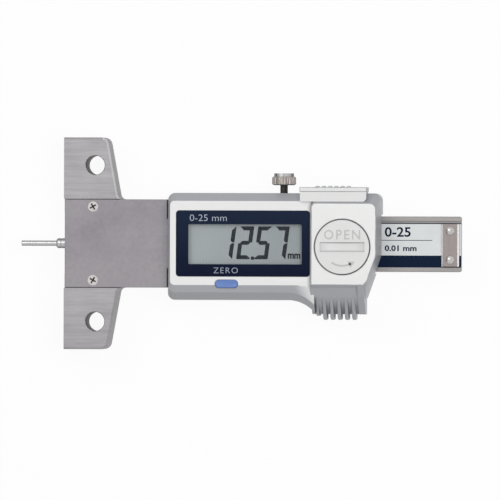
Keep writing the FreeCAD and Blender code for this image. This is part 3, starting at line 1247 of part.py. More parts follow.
PARTS = {
    "base": make_base,
    "neck_plate": make_neck_plate,
    "neck_plate_screws": make_plate_screws,
    "frame_screws": make_frame_screws,
    "slider_frame": make_slider_frame,
    "gib": make_gib,
    "gib_screws": make_gib_screws,
    "lock_screw": make_lock_screw,
    "housing": make_housing,
    "case_screws": make_case_screws,
    "case_gaskets": make_case_gaskets,
    "display_window": make_display_window,
    "window_seal": make_window_seal,
    "display_panel": make_display_panel,
    "display_connectors": make_display_connectors,
    "circuit_board": make_circuit_board,
    "signal_chip": make_signal_chip,
    "zero_key": make_zero_key,
    "button_switch": make_button_switch,
    "battery_cell": make_battery_cell,
    "battery_contact_minus": make_contact_minus,
    "battery_contact_plus": make_contact_plus,
    "battery_lid": make_battery_lid,
    "lid_seal": make_lid_seal,
    "port_cap": make_port_cap,
    "port_contacts": make_port_contacts,
    "beam": make_beam,
    "scale_strip": make_scale_strip,
    "beam_label": make_beam_label,
    "stopper_plate": make_stopper_plate,
    "stopper_screws": make_stopper_screws,
    "probe_rod": make_probe_rod,
    "probe_pin": make_probe_pin,
}


def main():
    """Build each sub-part and write its STEP file."""
    os.makedirs("parts", exist_ok=True)
    for name, maker in PARTS.items():
        made = maker()
        shape = Part.Compound(made) if isinstance(made, list) else made
        shape.exportStep(os.path.join("parts", name + ".step"))
        print(name, len(shape.Solids), round(shape.Volume, 2), shape.isValid())


main()
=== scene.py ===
"""Looks of a digital tread depth gauge: finishes, softened edges, display, prints, light and camera."""

import logging
import math
from collections.abc import Callable, Iterable
from dataclasses import dataclass, field
from enum import Enum

import bmesh
import bpy
from mathutils import Matrix, Vector


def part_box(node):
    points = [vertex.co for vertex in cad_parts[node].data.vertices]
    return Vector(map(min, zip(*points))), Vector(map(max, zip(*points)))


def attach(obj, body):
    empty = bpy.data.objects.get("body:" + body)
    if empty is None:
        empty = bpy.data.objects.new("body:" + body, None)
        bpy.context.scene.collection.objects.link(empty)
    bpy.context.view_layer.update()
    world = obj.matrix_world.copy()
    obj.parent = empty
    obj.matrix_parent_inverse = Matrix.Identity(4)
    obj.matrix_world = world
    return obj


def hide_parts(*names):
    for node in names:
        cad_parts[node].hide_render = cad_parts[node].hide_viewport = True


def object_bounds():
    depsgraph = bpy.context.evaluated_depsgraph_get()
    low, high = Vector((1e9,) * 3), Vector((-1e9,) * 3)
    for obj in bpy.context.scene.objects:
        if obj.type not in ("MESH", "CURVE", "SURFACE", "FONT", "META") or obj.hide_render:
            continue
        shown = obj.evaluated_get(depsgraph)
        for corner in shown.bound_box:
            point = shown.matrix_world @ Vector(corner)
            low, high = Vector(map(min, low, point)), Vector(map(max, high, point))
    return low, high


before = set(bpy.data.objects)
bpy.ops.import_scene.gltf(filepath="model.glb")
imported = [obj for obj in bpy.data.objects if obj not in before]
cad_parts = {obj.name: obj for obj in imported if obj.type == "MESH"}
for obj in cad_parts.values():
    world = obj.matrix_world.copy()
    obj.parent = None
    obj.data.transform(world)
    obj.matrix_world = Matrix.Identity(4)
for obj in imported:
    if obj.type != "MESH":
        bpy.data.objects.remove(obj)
CAD_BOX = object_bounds()

MM = 0.001
MERGE = 0.002 * MM
HAIR = 0.01 * MM
FLATNESS = math.radians(0.4)
LEVEL = 0.999
LETTER_DETAIL = 3
LETTER_MERGE = 0.0005
LOG = logging.getLogger("gauge")

Colour = tuple[float, float, float]
Source = bpy.types.NodeSocket
Place = tuple[float, float]


class Body(Enum):
    """The rigid bodies of the gauge."""

    SLIDER = "slider"
    BEAM = "beam"
    LOCK = "lock"
    LID = "lid"
    KEY = "key"


class Grain(Enum):
    """Direction that a brushed finish runs in, as the stretch of its noise."""

    ALONG_BEAM = (1.0, 22.0, 22.0)
    ACROSS_BEAM = (22.0, 1.0, 22.0)
    NONE = (1.0, 1.0, 1.0)


class NodeSheet:
    """A material's node tree, with short calls to add and join nodes."""

    def __init__(self, name: str) -> None:
        """Start a material with a bare Principled shader.

        Args:
            name: The material's name.
        """
        self.material = bpy.data.materials.new(name)
        self.material.use_nodes = True
        self.tree = self.material.node_tree
        self.tree.nodes.clear()
        self.output = self.tree.nodes.new("ShaderNodeOutputMaterial")
        self.shader = self.tree.nodes.new("ShaderNodeBsdfPrincipled")
        self.tree.links.new(self.shader.outputs[0], self.output.inputs["Surface"])
        coordinates = self.tree.nodes.new("ShaderNodeTexCoord")
        self.place = coordinates.outputs["Object"]
        self.normal = coordinates.outputs["Normal"]

    def put(self, kind: str, values: dict[str | int, object] | None = None,
            **attributes: object) -> bpy.types.Node:
        """Add a node.

        Args:
            kind: The node's type, without the ShaderNode prefix.
            values: Socket values or source sockets, by socket name or number.
            **attributes: Node attributes to set.

        Returns:
            The new node.
        """
        node = self.tree.nodes.new("ShaderNode" + kind)
        for key, value in attributes.items():
            setattr(node, key, value)
        for key, value in (values or {}).items():
            self.feed(node.inputs[key], value)
        return node

    def feed(self, socket: bpy.types.NodeSocket, value: object) -> None:
        """Set a socket from a plain value or from another node's output.

        Args:
            socket: The input socket.
            value: A number, a tuple or an output socket.
        """
        if isinstance(value, bpy.types.NodeSocket):
            self.tree.links.new(value, socket)
        else:
            socket.default_value = value

    def surface(self, **values: object) -> None:
        """Set the shader's sockets; underscores in the names stand for spaces.

        Args:
            **values: Socket values or sources, such as Base_Color.
        """
        for key, value in values.items():
            self.feed(self.shader.inputs[key.replace("_", " ")], value)

    def sum(self, operation: str, first: Source | float, second: Source | float) -> Source:
        """Join two values with one sum, which is named as in ADD."""
        return self.put("Math", {0: first, 1: second}, operation=operation).outputs[0]

    def along(self, axis: str, source: Source | None = None) -> Source:
        """The X, Y or Z part of the object's own coordinates, or of another vector."""
        return self.put("SeparateXYZ", {0: source or self.place}).outputs[axis]

    def noise(self, scale: float, detail: float = 3.0,
              stretch: tuple[float, float, float] = Grain.NONE.value, rough: float = 0.55) -> Source:
        """Noise over the object's own place.

        Args:
            scale: Cells per metre.
            detail: Octaves.
            stretch: Factor along each axis.
            rough: How strong the finer octaves are.

        Returns:
            The noise factor.
        """
        where = self.put("Mapping", {"Vector": self.place, "Scale": stretch}).outputs[0]
        return self.put("TexNoise", {"Vector": where, "Scale": scale, "Detail": detail,
                                     "Roughness": rough}).outputs["Fac"]

    def bands(self, pitch: float) -> Source:
        """Even bands across the beam's direction.

        Args:
            pitch: Width of a band and its gap.

        Returns:
            The wave, 0 to 1.
        """
        values = {"Vector": self.place, "Scale": math.pi / (10 * pitch), "Distortion": 0.0}
        return self.put("TexWave", values, wave_type="BANDS", bands_direction="X").outputs["Fac"]

    def ramp(self, factor: Source, stops: Iterable[tuple[float, Colour]]) -> Source:
        """Colour ramp.

        Args:
            factor: What drives it.
            stops: Places and colours, in order.

        Returns:
            The colour output.
        """
        node = self.put("ValToRGB", {"Fac": factor})
        elements = node.color_ramp.elements
        for number, (place, colour) in enumerate(stops):
            element = elements[number] if number < 2 else elements.new(place)
            element.position = place
            element.color = (*colour, 1.0)
        return node.outputs["Color"]

    def spread(self, factor: Source, low: float, high: float, start: float = 0.0,
               end: float = 1.0) -> Source:
        """Map a factor to a range of numbers.

        Args:
            factor: What drives it.
            low: Value at start.
            high: Value at end.
            start: Lower end of the factor.
            end: Upper end of the factor.

        Returns:
            The mapped value.
        """
        return self.put("MapRange", {"Value": factor, "From Min": start, "From Max": end, "To Min": low,
                                     "To Max": high}).outputs[0]

    def upright(self) -> Source:
        """How far the surface faces up or down, 0 to 1."""
        return self.sum("ABSOLUTE", self.along("Z", self.normal), 0.0)

    def painted_corner_shade(self, reach: float, least: float) -> Source:
        """Factor that falls in narrow corners, which paints shade there from ambient occlusion.

        Args:
            reach: How far the nearest wall may be.
            least: Factor deep in a corner.

        Returns:
            The factor, 1 on open surfaces.
        """
        node = self.put("AmbientOcclusion", {"Distance": reach}, only_local=True, samples=8)
        return self.spread(node.outputs["AO"], least, 1.0, 0.25, 0.85)

    def tinted(self, colour: Source, factor: Source) -> Source:
        """Colour times a plain factor."""
        return self.put("VectorMath", {0: colour, "Scale": factor}, operation="SCALE").outputs[0]

    def bump(self, height: Source, distance: float, strength: float = 1.0) -> Source:
        """Normal bumped by a height of 0 to 1, of which 1 stands for the distance in metres."""
        return self.put("Bump", {"Height": height, "Distance": distance, "Strength": strength}).outputs[0]


@dataclass(frozen=True)
class Steel:
    """Machined metal: coarse and fine grain, slow changes of tone, uneven gloss.

    The side share is the share of the tone that is left on the sides of round bars, which paints a dark
    reflection on them, and the side span says between which upward shares of the normal it grows to the
    full tone.
    """

    name: str
    light: Colour
    dark: Colour
    grain: Grain = Grain.ALONG_BEAM
    fineness: float = 60.0
    depth: float = 0.004 * MM
    rough: tuple[float, float] = (0.38, 0.50)
    metal: float = 0.6
    stops: tuple[float, float] = (0.30, 0.70)
    side_shade_share: float = 1.0
    side_shade_span: tuple[float, float] = (0.35, 0.90)
    fine_factor: float = 6.0
    cloud_scale: float = 45.0
    cloud_share: float = 0.35

    def material(self) -> bpy.types.Material:
        """Build the material.

        Returns:
            The finished material.
        """
        sheet = NodeSheet(self.name)
        coarse = sheet.noise(self.fineness, 2.0, self.grain.value)
        fine = sheet.noise(self.fine_factor * self.fineness, 3.0, self.grain.value, 0.65)
        cloud = sheet.noise(self.cloud_scale, 2.0)
        lines = sheet.sum("ADD", sheet.spread(coarse, 0.0, 0.5), sheet.spread(fine, 0.0, 0.5))
        tone = sheet.sum("ADD", sheet.spread(lines, 0.0, 1.0 - self.cloud_share),
                         sheet.spread(cloud, 0.0, self.cloud_share))
        colour = sheet.ramp(tone, ((self.stops[0], self.dark), (self.stops[1], self.light)))
        # Painted reflection: the sides of round bars are darkened, as if they mirrored a dark surround.
        if self.side_shade_share < 1.0:
            share = sheet.spread(sheet.upright(), self.side_shade_share, 1.0, *self.side_shade_span)
            colour = sheet.tinted(colour, share)
        sheet.surface(
            Base_Color=colour,
            Metallic=self.metal,
            Roughness=sheet.spread(lines, *self.rough, 0.3, 0.7),
            Normal=sheet.bump(lines, self.depth),
        )
        return sheet.material


@dataclass(frozen=True)
class FlakePaint:
    """Silver flake paint with slight orange peel: pale on the face and darker where the form tips away
    from facing up, which is painted shade, and with painted shade in narrow corners.
    """

    name: str
    face: Colour
    slope_shade: Colour
    # Upward shares of the normal over which the painted slope shade fades into the face colour.
    tip: tuple[float, float] = (0.935, 0.992)
    metal: float = 0.10
    rough: float = 0.38
    peel: float = 0.003 * MM
    corner_shade_reach: float = 1.6 * MM
    corner_shade_dark: float = 0.30
    flake_scale: float = 9000.0
    peel_scale: float = 1400.0
    gloss: float = 0.4
    coat: float = 0.08
    coat_rough: float = 0.15

    def material(self) -> bpy.types.Material:
        """Build the material.

        Returns:
            The finished material.
        """
        sheet = NodeSheet(self.name)
        # Painted shade: the colour darkens from the face colour to the slope colour as the form tips away
        # from facing up.
        tip = sheet.spread(sheet.upright(), 0.0, 1.0, *self.tip)
        shade = sheet.ramp(tip, ((0.0, self.slope_shade), (1.0, self.face)))
        flake = sheet.spread(sheet.noise(self.flake_scale, 2.0), -0.05, 0.05)
        cloud = sheet.noise(90.0, 3.0)
        grain = sheet.sum("ADD", flake, sheet.spread(cloud, 0.98, 1.02))
        # Painted shade: the paint is darker in narrow corners and creases.
        grain = sheet.sum("MULTIPLY", grain, sheet.painted_corner_shade(self.corner_shade_reach, self.corner_shade_dark))
        sheet.surface(
            Base_Color=sheet.tinted(shade, grain),
            Metallic=self.metal,
            Roughness=sheet.spread(cloud, self.rough - 0.03, self.rough + 0.05),
            Specular_IOR_Level=self.gloss,
            Coat_Weight=self.coat,
            Coat_Roughness=self.coat_rough,
            Normal=sheet.bump(sheet.noise(self.peel_scale, 2.0), self.peel, 0.5),
        )
        return sheet.material


@dataclass(frozen=True)
class Plastic:
    """Moulded plastic, rubber, foil or ink in one colour, with fine texture."""

    name: str
    colour: Colour
    rough: float = 0.4
    gloss: float = 0.5
    texture: float = 0.003 * MM
    metal: float = 0.0
    clear: float = 1.0
    variation: float = 0.08

    def material(self) -> bpy.types.Material:
        """Build the material.

        Returns:
            The finished material.
        """
        sheet = NodeSheet(self.name)
        cloud = sheet.noise(120.0, 3.0)
        dark = tuple((1 - self.variation) * c for c in self.colour)
        sheet.surface(
            Base_Color=sheet.ramp(cloud, ((0.3, dark), (0.7, self.colour))),
            Metallic=self.metal,
            Roughness=sheet.spread(cloud, self.rough - 0.02, self.rough + 0.03),
            Specular_IOR_Level=self.gloss,
            Alpha=self.clear,
            Normal=sheet.bump(sheet.noise(2500.0, 2.0), self.texture, 0.6),
        )
        return sheet.material


@dataclass(frozen=True)
class Graded:
    """Glass or lacquer whose tone runs slowly along one axis, with faint fine bands."""

    name: str
    first: Colour
    last: Colour
    axis: str
    span: tuple[float, float]
    rough: float = 0.34
    gloss: float = 0.35
    band_pitch: float = 0.9 * MM
    band_depth: float = 0.03

    def material(self) -> bpy.types.Material:
        """Build the material.

        Returns:
            The finished material.
        """
        sheet = NodeSheet(self.name)
        across = sheet.spread(sheet.along(self.axis), 0.0, 1.0, *self.span)
        lines = sheet.bands(self.band_pitch)
        cloud = sheet.spread(sheet.noise(140.0, 2.0), -0.15, 0.15)
        tone = sheet.sum("ADD", across, cloud)
        shade = sheet.ramp(tone, ((0.05, self.first), (0.95, self.last)))
        sheet.surface(
            Base_Color=sheet.tinted(shade, sheet.spread(lines, 1 - self.band_depth, 1 + self.band_depth)),
            Roughness=sheet.spread(lines, self.rough - 0.02, self.rough + 0.02),
            Specular_IOR_Level=self.gloss,
        )
        return sheet.material


@dataclass(frozen=True)
class Tracks:
    """Bonded board with fine printed conductor tracks across it."""

    name: str
    ground: Colour
    track: Colour
    pitch: float = 0.8 * MM

    def material(self) -> bpy.types.Material:
        """Build the material.

        Returns:
            The finished material.
        """
        sheet = NodeSheet(self.name)
        wave = sheet.bands(self.pitch)
        sheet.surface(
            Base_Color=sheet.ramp(wave, ((0.45, self.ground), (0.55, self.track))),
            Roughness=sheet.spread(wave, 0.5, 0.35),
            Normal=sheet.bump(wave, 0.01 * MM, 0.5),
        )
        return sheet.material


class Finishes:
    """Every finish of the gauge, made once."""

    def __init__(self) -> None:
        """Build the materials."""
        panel_low, panel_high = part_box("display_panel")
        window_low, window_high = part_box("display_window")
        makers = (
            Steel("ground_steel", (0.405, 0.392, 0.405), (0.258, 0.250, 0.262), stops=(0.36, 0.64)),
            # Darker steel for the base's flanks: painted shade.
            Steel("flank_shade_steel", (0.24, 0.23, 0.235), (0.18, 0.175, 0.18), metal=0.3),
            # Near-black steel for the wing holes' walls: painted shade.
            Steel("bore_shade_steel", (0.075, 0.07, 0.07), (0.045, 0.042, 0.042), Grain.NONE, 300.0,
                  0.002 * MM, (0.45, 0.6), 0.3),
            # Pale steel for the upper wing's cut edge: painted highlight.
            Steel("cut_edge_highlight_steel", (0.62, 0.61, 0.62), (0.52, 0.51, 0.52), metal=0.4),
            Steel("satin_steel", (0.322, 0.305, 0.325), (0.240, 0.222, 0.243), Grain.NONE, 130.0,
                  0.002 * MM, (0.46, 0.58), 0.5, (0.36, 0.64)),
            Steel("milled_steel", (0.42, 0.42, 0.43), (0.30, 0.30, 0.31)),
            Steel("beam_steel", (0.41, 0.395, 0.39), (0.31, 0.298, 0.295)),
            Steel("bright_steel", (0.64, 0.62, 0.61), (0.44, 0.42, 0.415), Grain.NONE, 900.0,
                  0.002 * MM, (0.22, 0.34), 0.9),
            # Near-white steel for the stopper plate's long chamfers: painted highlight.
            Steel("chamfer_highlight_steel", (0.98, 0.97, 0.96), (0.88, 0.87, 0.86), Grain.ACROSS_BEAM, 90.0,
                  0.001 * MM, (0.20, 0.28), 0.3),
            # Near-black steel for the screws' cross recesses: painted shade.
            Steel("recess_shade_steel", (0.060, 0.055, 0.055), (0.030, 0.028, 0.028), Grain.NONE, 900.0,
                  0.002 * MM, (0.45, 0.6), 0.5),
            # The last number of the knurled head, its crown and the probe is the side share: painted dark
            # reflection on their round sides.
            Steel("knurled_chrome", (0.66, 0.60, 0.56), (0.10, 0.085, 0.085), Grain.ACROSS_BEAM, 50.0,
                  0.002 * MM, (0.20, 0.34), 0.9, (0.41, 0.60), 0.45),
            Steel("crown_chrome", (0.66, 0.67, 0.67), (0.26, 0.27, 0.27), Grain.ACROSS_BEAM, 50.0,
                  0.002 * MM, (0.20, 0.34), 0.9, (0.40, 0.60), 0.12),
            Steel("blackened_steel", (0.050, 0.045, 0.040), (0.022, 0.020, 0.018), Grain.NONE, 700.0,
                  0.002 * MM, (0.32, 0.44), 0.7),
            Steel("probe_steel", (0.60, 0.60, 0.60), (0.42, 0.42, 0.425), Grain.ACROSS_BEAM, 140.0,
                  0.002 * MM, (0.22, 0.34), 0.9, (0.30, 0.70), 0.08),
            Steel("stopper_steel", (0.385, 0.338, 0.328), (0.275, 0.240, 0.233), Grain.ACROSS_BEAM, 90.0,
                  0.003 * MM, (0.40, 0.52), 0.6),
            Steel("milled_brass", (0.72, 0.52, 0.25), (0.52, 0.36, 0.16)),
            FlakePaint("silver_paint", (0.80, 0.80, 0.795), (0.39, 0.40, 0.425)),
            FlakePaint("cap_paint", (0.735, 0.735, 0.73), (0.37, 0.38, 0.40)),
            FlakePaint("lid_paint", (0.72, 0.72, 0.715), (0.33, 0.34, 0.35), corner_shade_reach=0.9 * MM),
            # Darker paint for the raised word and arrow: painted shade for their small edges.
            FlakePaint("relief_shade_paint", (0.53, 0.53, 0.525), (0.36, 0.37, 0.38)),
            # The border's tone, lighter towards the top, is a painted reflection.
            Graded("window_navy", (0.0035, 0.0065, 0.026), (0.0095, 0.0185, 0.043), "Y",
                   (window_low.y, window_high.y), 0.10, 0.08, 0.9 * MM, 0.0),
            Plastic("window_clear", (0.12, 0.13, 0.13), 0.08, 0.5, 0.0, clear=0.04),
            Graded("display_glass", (0.41, 0.45, 0.455), (0.33, 0.365, 0.375), "X",
                   (panel_low.x, panel_high.x)),
            Plastic("display_ink", (0.014, 0.019, 0.028), 0.45, 0.2),
            Plastic("print_white", (0.42, 0.47, 0.55), 0.5, 0.3),
            Plastic("print_navy", (0.007, 0.015, 0.038), 0.40, 0.05),
            Plastic("key_blue", (0.125, 0.225, 0.53), 0.30, 0.5),
            Plastic("label_foil", (0.70, 0.72, 0.725), 0.36, 0.4, metal=0.15),
            Plastic("seal_rubber", (0.02, 0.02, 0.02), 0.75, 0.3),
            Plastic("board_green", (0.02, 0.13, 0.06), 0.35),
            Plastic("chip_black", (0.02, 0.02, 0.02), 0.5, 0.4),
            Plastic("cell_nickel", (0.66, 0.66, 0.65), 0.25, metal=1.0),
            Plastic("contact_gold", (0.80, 0.60, 0.26), 0.28, metal=1.0),
            Tracks("scale_tracks", (0.22, 0.16, 0.06), (0.62, 0.42, 0.20)),
        )
        self.made = {maker.name: maker.material() for maker in makers}

    def dress(self, piece: bpy.types.Object, finish: str) -> None:
        """Give a piece one finish.

        Args:
            piece: The piece.
            finish: Name of the finish.
        """
        if not piece.material_slots:
            piece.data.materials.append(self.made[finish])
        for material_slot in piece.material_slots:
            material_slot.material = self.made[finish]

    def dress_some(self, piece: bpy.types.Object, finish: str,
                   where: Callable[[Vector, Vector], bool]) -> None:
        """Give some faces of a piece a second finish.

        Args:
            piece: The piece, which has its first finish.
            finish: Name of the second finish.
            where: Told a face's centre and normal, says whether it takes the second finish.
        """
        piece.data.materials.append(self.made[finish])
        number = len(piece.data.materials) - 1
        for polygon in piece.data.polygons:
            if where(polygon.center, polygon.normal):
                polygon.material_index = number


@dataclass(frozen=True)
class Edging:
    """How a part's edges are broken."""

    width: float = 0.08 * MM
    segments: int = 2
    angle: float = 28.0

    def apply(self, piece: bpy.types.Object) -> None:
        """Add the live bevel to a piece.

        Args:
            piece: The piece.
        """
        bevel = piece.modifiers.new("broken_edges", "BEVEL")
        bevel.width = self.width
        bevel.segments = self.segments
        bevel.limit_method = "ANGLE"
        bevel.angle_limit = math.radians(self.angle)
        bevel.harden_normals = True


class Workshop:
    """Makes pieces, dresses them and lets them ride on their bodies."""

    def __init__(self, finishes: Finishes) -> None:
        """Keep the finishes.

        Args:
            finishes: The materials by name.
        """
        self.finishes = finishes

    def piece(self, name: str, mesh: bmesh.types.BMesh, finish: str, body: Body, slot: str,
              replaces: tuple[str, ...] = ()) -> bpy.types.Object:
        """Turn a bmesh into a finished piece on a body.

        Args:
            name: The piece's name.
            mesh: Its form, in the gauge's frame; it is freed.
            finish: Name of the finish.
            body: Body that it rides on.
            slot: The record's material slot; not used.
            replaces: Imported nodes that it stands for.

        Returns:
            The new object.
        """
        data = bpy.data.meshes.new(name)
        mesh.to_mesh(data)
        mesh.free()
        stale = data.attributes.get("custom_normal")
        if stale:
            data.attributes.remove(stale)
        made = bpy.data.objects.new(name, data)
        bpy.context.scene.collection.objects.link(made)
        self.finishes.dress(made, finish)
        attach(made, body.value)
        if replaces:
            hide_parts(*replaces)
        LOG.info("%s: %d faces on %s", name, len(data.polygons), body.value)
        return made

    def softened(self, node: str, finish: str, body: Body, slot: str, edging: Edging = Edging(),
                 shape: Callable[[bmesh.types.BMesh], None] | None = None) -> bpy.types.Object:
        """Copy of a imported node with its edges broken, which stands for the node.

        Args:
            node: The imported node.
            finish: Name of the finish.
            body: Body that it rides on.
            slot: The record's material slot.
            edging: How its edges are broken.
            shape: Works a detail into the merged copy.

        Returns:
            The new object.
        """
        mesh = bmesh.new()
        mesh.from_mesh(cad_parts[node].data)
        bmesh.ops.remove_doubles(mesh, verts=mesh.verts, dist=MERGE)
        bmesh.ops.dissolve_limit(mesh, angle_limit=FLATNESS, verts=mesh.verts, edges=mesh.edges,
                                 use_dissolve_boundaries=False)
        if shape:
            shape(mesh)
        made = self.piece(node + "_dressed", mesh, finish, body, slot, (node,))
        made.data.shade_smooth()
        made.data.set_sharp_from_angle(angle=math.radians(edging.angle))
        edging.apply(made)
        return made

    def plain(self, node: str, finish: str) -> None:
        """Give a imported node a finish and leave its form."""
        self.finishes.dress(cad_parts[node], finish)
        LOG.info("%s: %s", node, finish)


def raised(mesh: bmesh.types.BMesh, faces: list[bmesh.types.BMFace], rise: float) -> None:
    """Grow flat faces upwards into closed solids.

    Args:
        mesh: The bmesh.
        faces: The faces, which lie flat.
        rise: How far up.
    """
    grown = bmesh.ops.extrude_face_region(mesh, geom=faces)["geom"]
    tops = [item for item in grown if isinstance(item, bmesh.types.BMVert)]
    bmesh.ops.translate(mesh, verts=tops, vec=(0, 0, rise))
    bmesh.ops.recalc_face_normals(mesh, faces=mesh.faces)


def flat_panel(mesh: bmesh.types.BMesh, low: Vector, high: Vector) -> list[bmesh.types.BMVert]:
    """Add a flat rectangle at the lower corner's height.

    Args:
        mesh: The bmesh that it is added to.
        low: Lowest corner.
        high: Highest corner.

    Returns:
        Its four corners.
    """
    centre = (low + high) / 2
    size = Matrix.Diagonal((high.x - low.x, high.y - low.y, 1, 1))
    place = Matrix.Translation((centre.x, centre.y, low.z)) @ size
    return bmesh.ops.create_grid(mesh, x_segments=1, y_segments=1, size=0.5, matrix=place)["verts"]


def round_off(mesh: bmesh.types.BMesh, corners: list[bmesh.types.BMVert], radius: float,
              steps: int = 6) -> None:
    """Round or cut corners of a flat panel.

    Args:
        mesh: The bmesh.
        corners: The corners.
        radius: Corner radius, or length of the cut.
        steps: Spans of each corner; 1 is a straight cut.
    """
    bmesh.ops.bevel(mesh, geom=corners, offset=radius, segments=steps, affect="VERTICES", profile=0.5,
                    material=-1)


def chamfer(mesh: bmesh.types.BMesh, edges: list[bmesh.types.BMEdge], width: float) -> None:
    """Cut edges flat.

    Args:
        mesh: The bmesh.
        edges: The edges.
        width: Width of the cut on either side.
    """
    bmesh.ops.bevel(mesh, geom=edges, offset=width, segments=1, affect="EDGES", profile=0.5, material=-1)


def slab(low: Vector, high: Vector, radius: float = 0.0) -> bmesh.types.BMesh:
    """Block between two corners, with rounded upright edges.

    Args:
        low: Lowest corner.
        high: Highest corner.
        radius: Radius of the upright edges.

    Returns:
        A new bmesh.
    """
    mesh = bmesh.new()
    corners = flat_panel(mesh, low, high)
    if radius:
        round_off(mesh, corners, radius)
    raised(mesh, mesh.faces[:], high.z - low.z)
    return mesh


def framed(low: Vector, high: Vector, radius: float, hole_low: Vector, hole_high: Vector,
           hole_radius: float) -> bmesh.types.BMesh:
    """Block with rounded corners and a rounded opening through it.

    Args:
        low: Lowest corner.
        high: Highest corner.
        radius: Radius of the outer corners.
        hole_low: Lower corner of the opening.
        hole_high: Upper corner of the opening.
        hole_radius: Radius of the opening's corners.

    Returns:
        A new bmesh.
    """
    mesh = bmesh.new()
    round_off(mesh, flat_panel(mesh, low, high), radius)
    round_off(mesh, flat_panel(mesh, Vector((hole_low.x, hole_low.y, low.z)), hole_high), hole_radius)
    bmesh.ops.delete(mesh, geom=mesh.faces[:], context="FACES_ONLY")
    ring = bmesh.ops.bridge_loops(mesh, edges=mesh.edges[:])["faces"]
    raised(mesh, ring, high.z - low.z)
    return mesh


@dataclass(frozen=True)
class Words:
    """Plain generic lettering that fills a box of the plan.

    weight is how far the strokes are thickened, as a share of the size.
    """

    text: str
    low: Place
    high: Place
    weight: float = 0.0
    spacing: float = 1.0

    def solid(self, bottom: float, thick: float) -> bmesh.types.BMesh:
        """The letters as thin solids.

        Args:
            bottom: Height of the underside.
            thick: Thickness of the letters.

        Returns:
            A new bmesh.
        """
        curve = bpy.data.curves.new("lettering", "FONT")
        curve.body = self.text
        curve.extrude = 0.5
        curve.offset = self.weight
        curve.space_character = self.spacing
        curve.resolution_u = LETTER_DETAIL
        holder = bpy.data.objects.new("lettering", curve)
        data = bpy.data.meshes.new_from_object(holder)
        mesh = bmesh.new()
        mesh.from_mesh(data)
        bpy.data.objects.remove(holder)
        bpy.data.curves.remove(curve)
        bpy.data.meshes.remove(data)
        bmesh.ops.remove_doubles(mesh, verts=mesh.verts, dist=LETTER_MERGE)
        least = Vector(min(v.co[i] for v in mesh.verts) for i in range(3))
        most = Vector(max(v.co[i] for v in mesh.verts) for i in range(3))
        size = most - least
        wide, tall = self.high[0] - self.low[0], self.high[1] - self.low[1]
        fit = Matrix.Diagonal((wide / size.x, tall / size.y, thick / size.z, 1.0))
        place = Matrix.Translation((*self.low, bottom))
        bmesh.ops.transform(mesh, matrix=place @ fit @ Matrix.Translation(-least), verts=mesh.verts)
        return mesh


@dataclass
class CrossBase:
    """Steel cross base with its neck plate and screws."""

    shop: Workshop
    recess_share: float = 0.72
    recess_start: float = 0.04 * MM
    hole_x: float = 9.0 * MM
    hole_inset: float = 8.0 * MM
    hole_radius: float = 2.8 * MM
    neck_half: float = 13.0 * MM
    cut: float = 0.26 * MM
    outward: float = 0.2
    steep: float = 0.5
    tilted: float = 0.95

    def build(self) -> None:
        """Dress base, plate and screws."""
        self.base()
        self.shop.softened("neck_plate", "satin_steel", Body.SLIDER, "plate_steel", Edging(0.06 * MM))
        screws = self.shop.softened("neck_plate_screws", "bright_steel", Body.SLIDER, "screw_steel",
                                    Edging(0.03 * MM, 1))
        # Painted shade: the cross recesses are near black.
        self.shop.finishes.dress_some(screws, "recess_shade_steel", self.in_recess)
        self.shop.plain("frame_screws", "bright_steel")

    def base(self) -> None:
        """Dress the base: ground faces, flanks darkened as painted shade, bores painted dark as shade and
        a painted highlight on the upper cut edge.
        """
        base = self.shop.softened("base", "ground_steel", Body.SLIDER, "base_steel", shape=self.cut_edges)
        low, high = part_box("base")
        hole_y = (high.y - low.y) / 2 - self.hole_inset

        def in_bore(centre: Vector, normal: Vector) -> bool:
            """Whether a face lies in one of the two wing holes."""
            away = math.hypot(centre.x - self.hole_x, abs(centre.y) - hole_y)
            return away < self.hole_radius and abs(normal.z) < self.steep

        def on_flank(centre: Vector, normal: Vector) -> bool:
            """Whether a face stands on the sides that face the case."""
            return normal.x > self.outward and abs(normal.z) < self.steep

        def on_cut(centre: Vector, normal: Vector) -> bool:
            """Whether a face is the upper wing's cut edge."""
            return normal.x > self.outward and normal.y > 0 and self.steep < normal.z < self.tilted

        # Painted shade: the flanks take a darker steel.
        self.shop.finishes.dress_some(base, "flank_shade_steel", on_flank)
        # Painted shade: the hole walls are dark.
        self.shop.finishes.dress_some(base, "bore_shade_steel", in_bore)
        # Painted highlight: the up-facing cut edge of the upper wing is pale.
        self.shop.finishes.dress_some(base, "cut_edge_highlight_steel", on_cut)

    def cut_edges(self, mesh: bmesh.types.BMesh) -> None:
        """Cut the front edges of the wings' slanted sides.

        Args:
            mesh: The base's merged copy.
        """
        front = [edge for edge in mesh.edges if len(edge.link_faces) == 2
                 and max(face.normal.z for face in edge.link_faces) > LEVEL
                 and any(face.normal.x > self.outward and abs(face.normal.z) < self.steep
                         for face in edge.link_faces)
                 and min(abs(v.co.y) for v in edge.verts) > self.neck_half
                 and abs(edge.verts[0].co.x - self.hole_x) > self.hole_radius]
        chamfer(mesh, front, self.cut)

    def in_recess(self, centre: Vector, normal: Vector) -> bool:
        """Whether a face belongs to a plate screw's cross recess.

        Args:
            centre: The face's centre.
            normal: Its normal.

        Returns:
            True inside a recess.
        """
        low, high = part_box("neck_plate_screws")
        head = (high.x - low.x) / 2
        axis_y = high.y - head if centre.y > (low.y + high.y) / 2 else low.y + head
        away = math.hypot(centre.x - (low.x + high.x) / 2, centre.y - axis_y)
        return centre.z < high.z - self.recess_start and away < self.recess_share * head


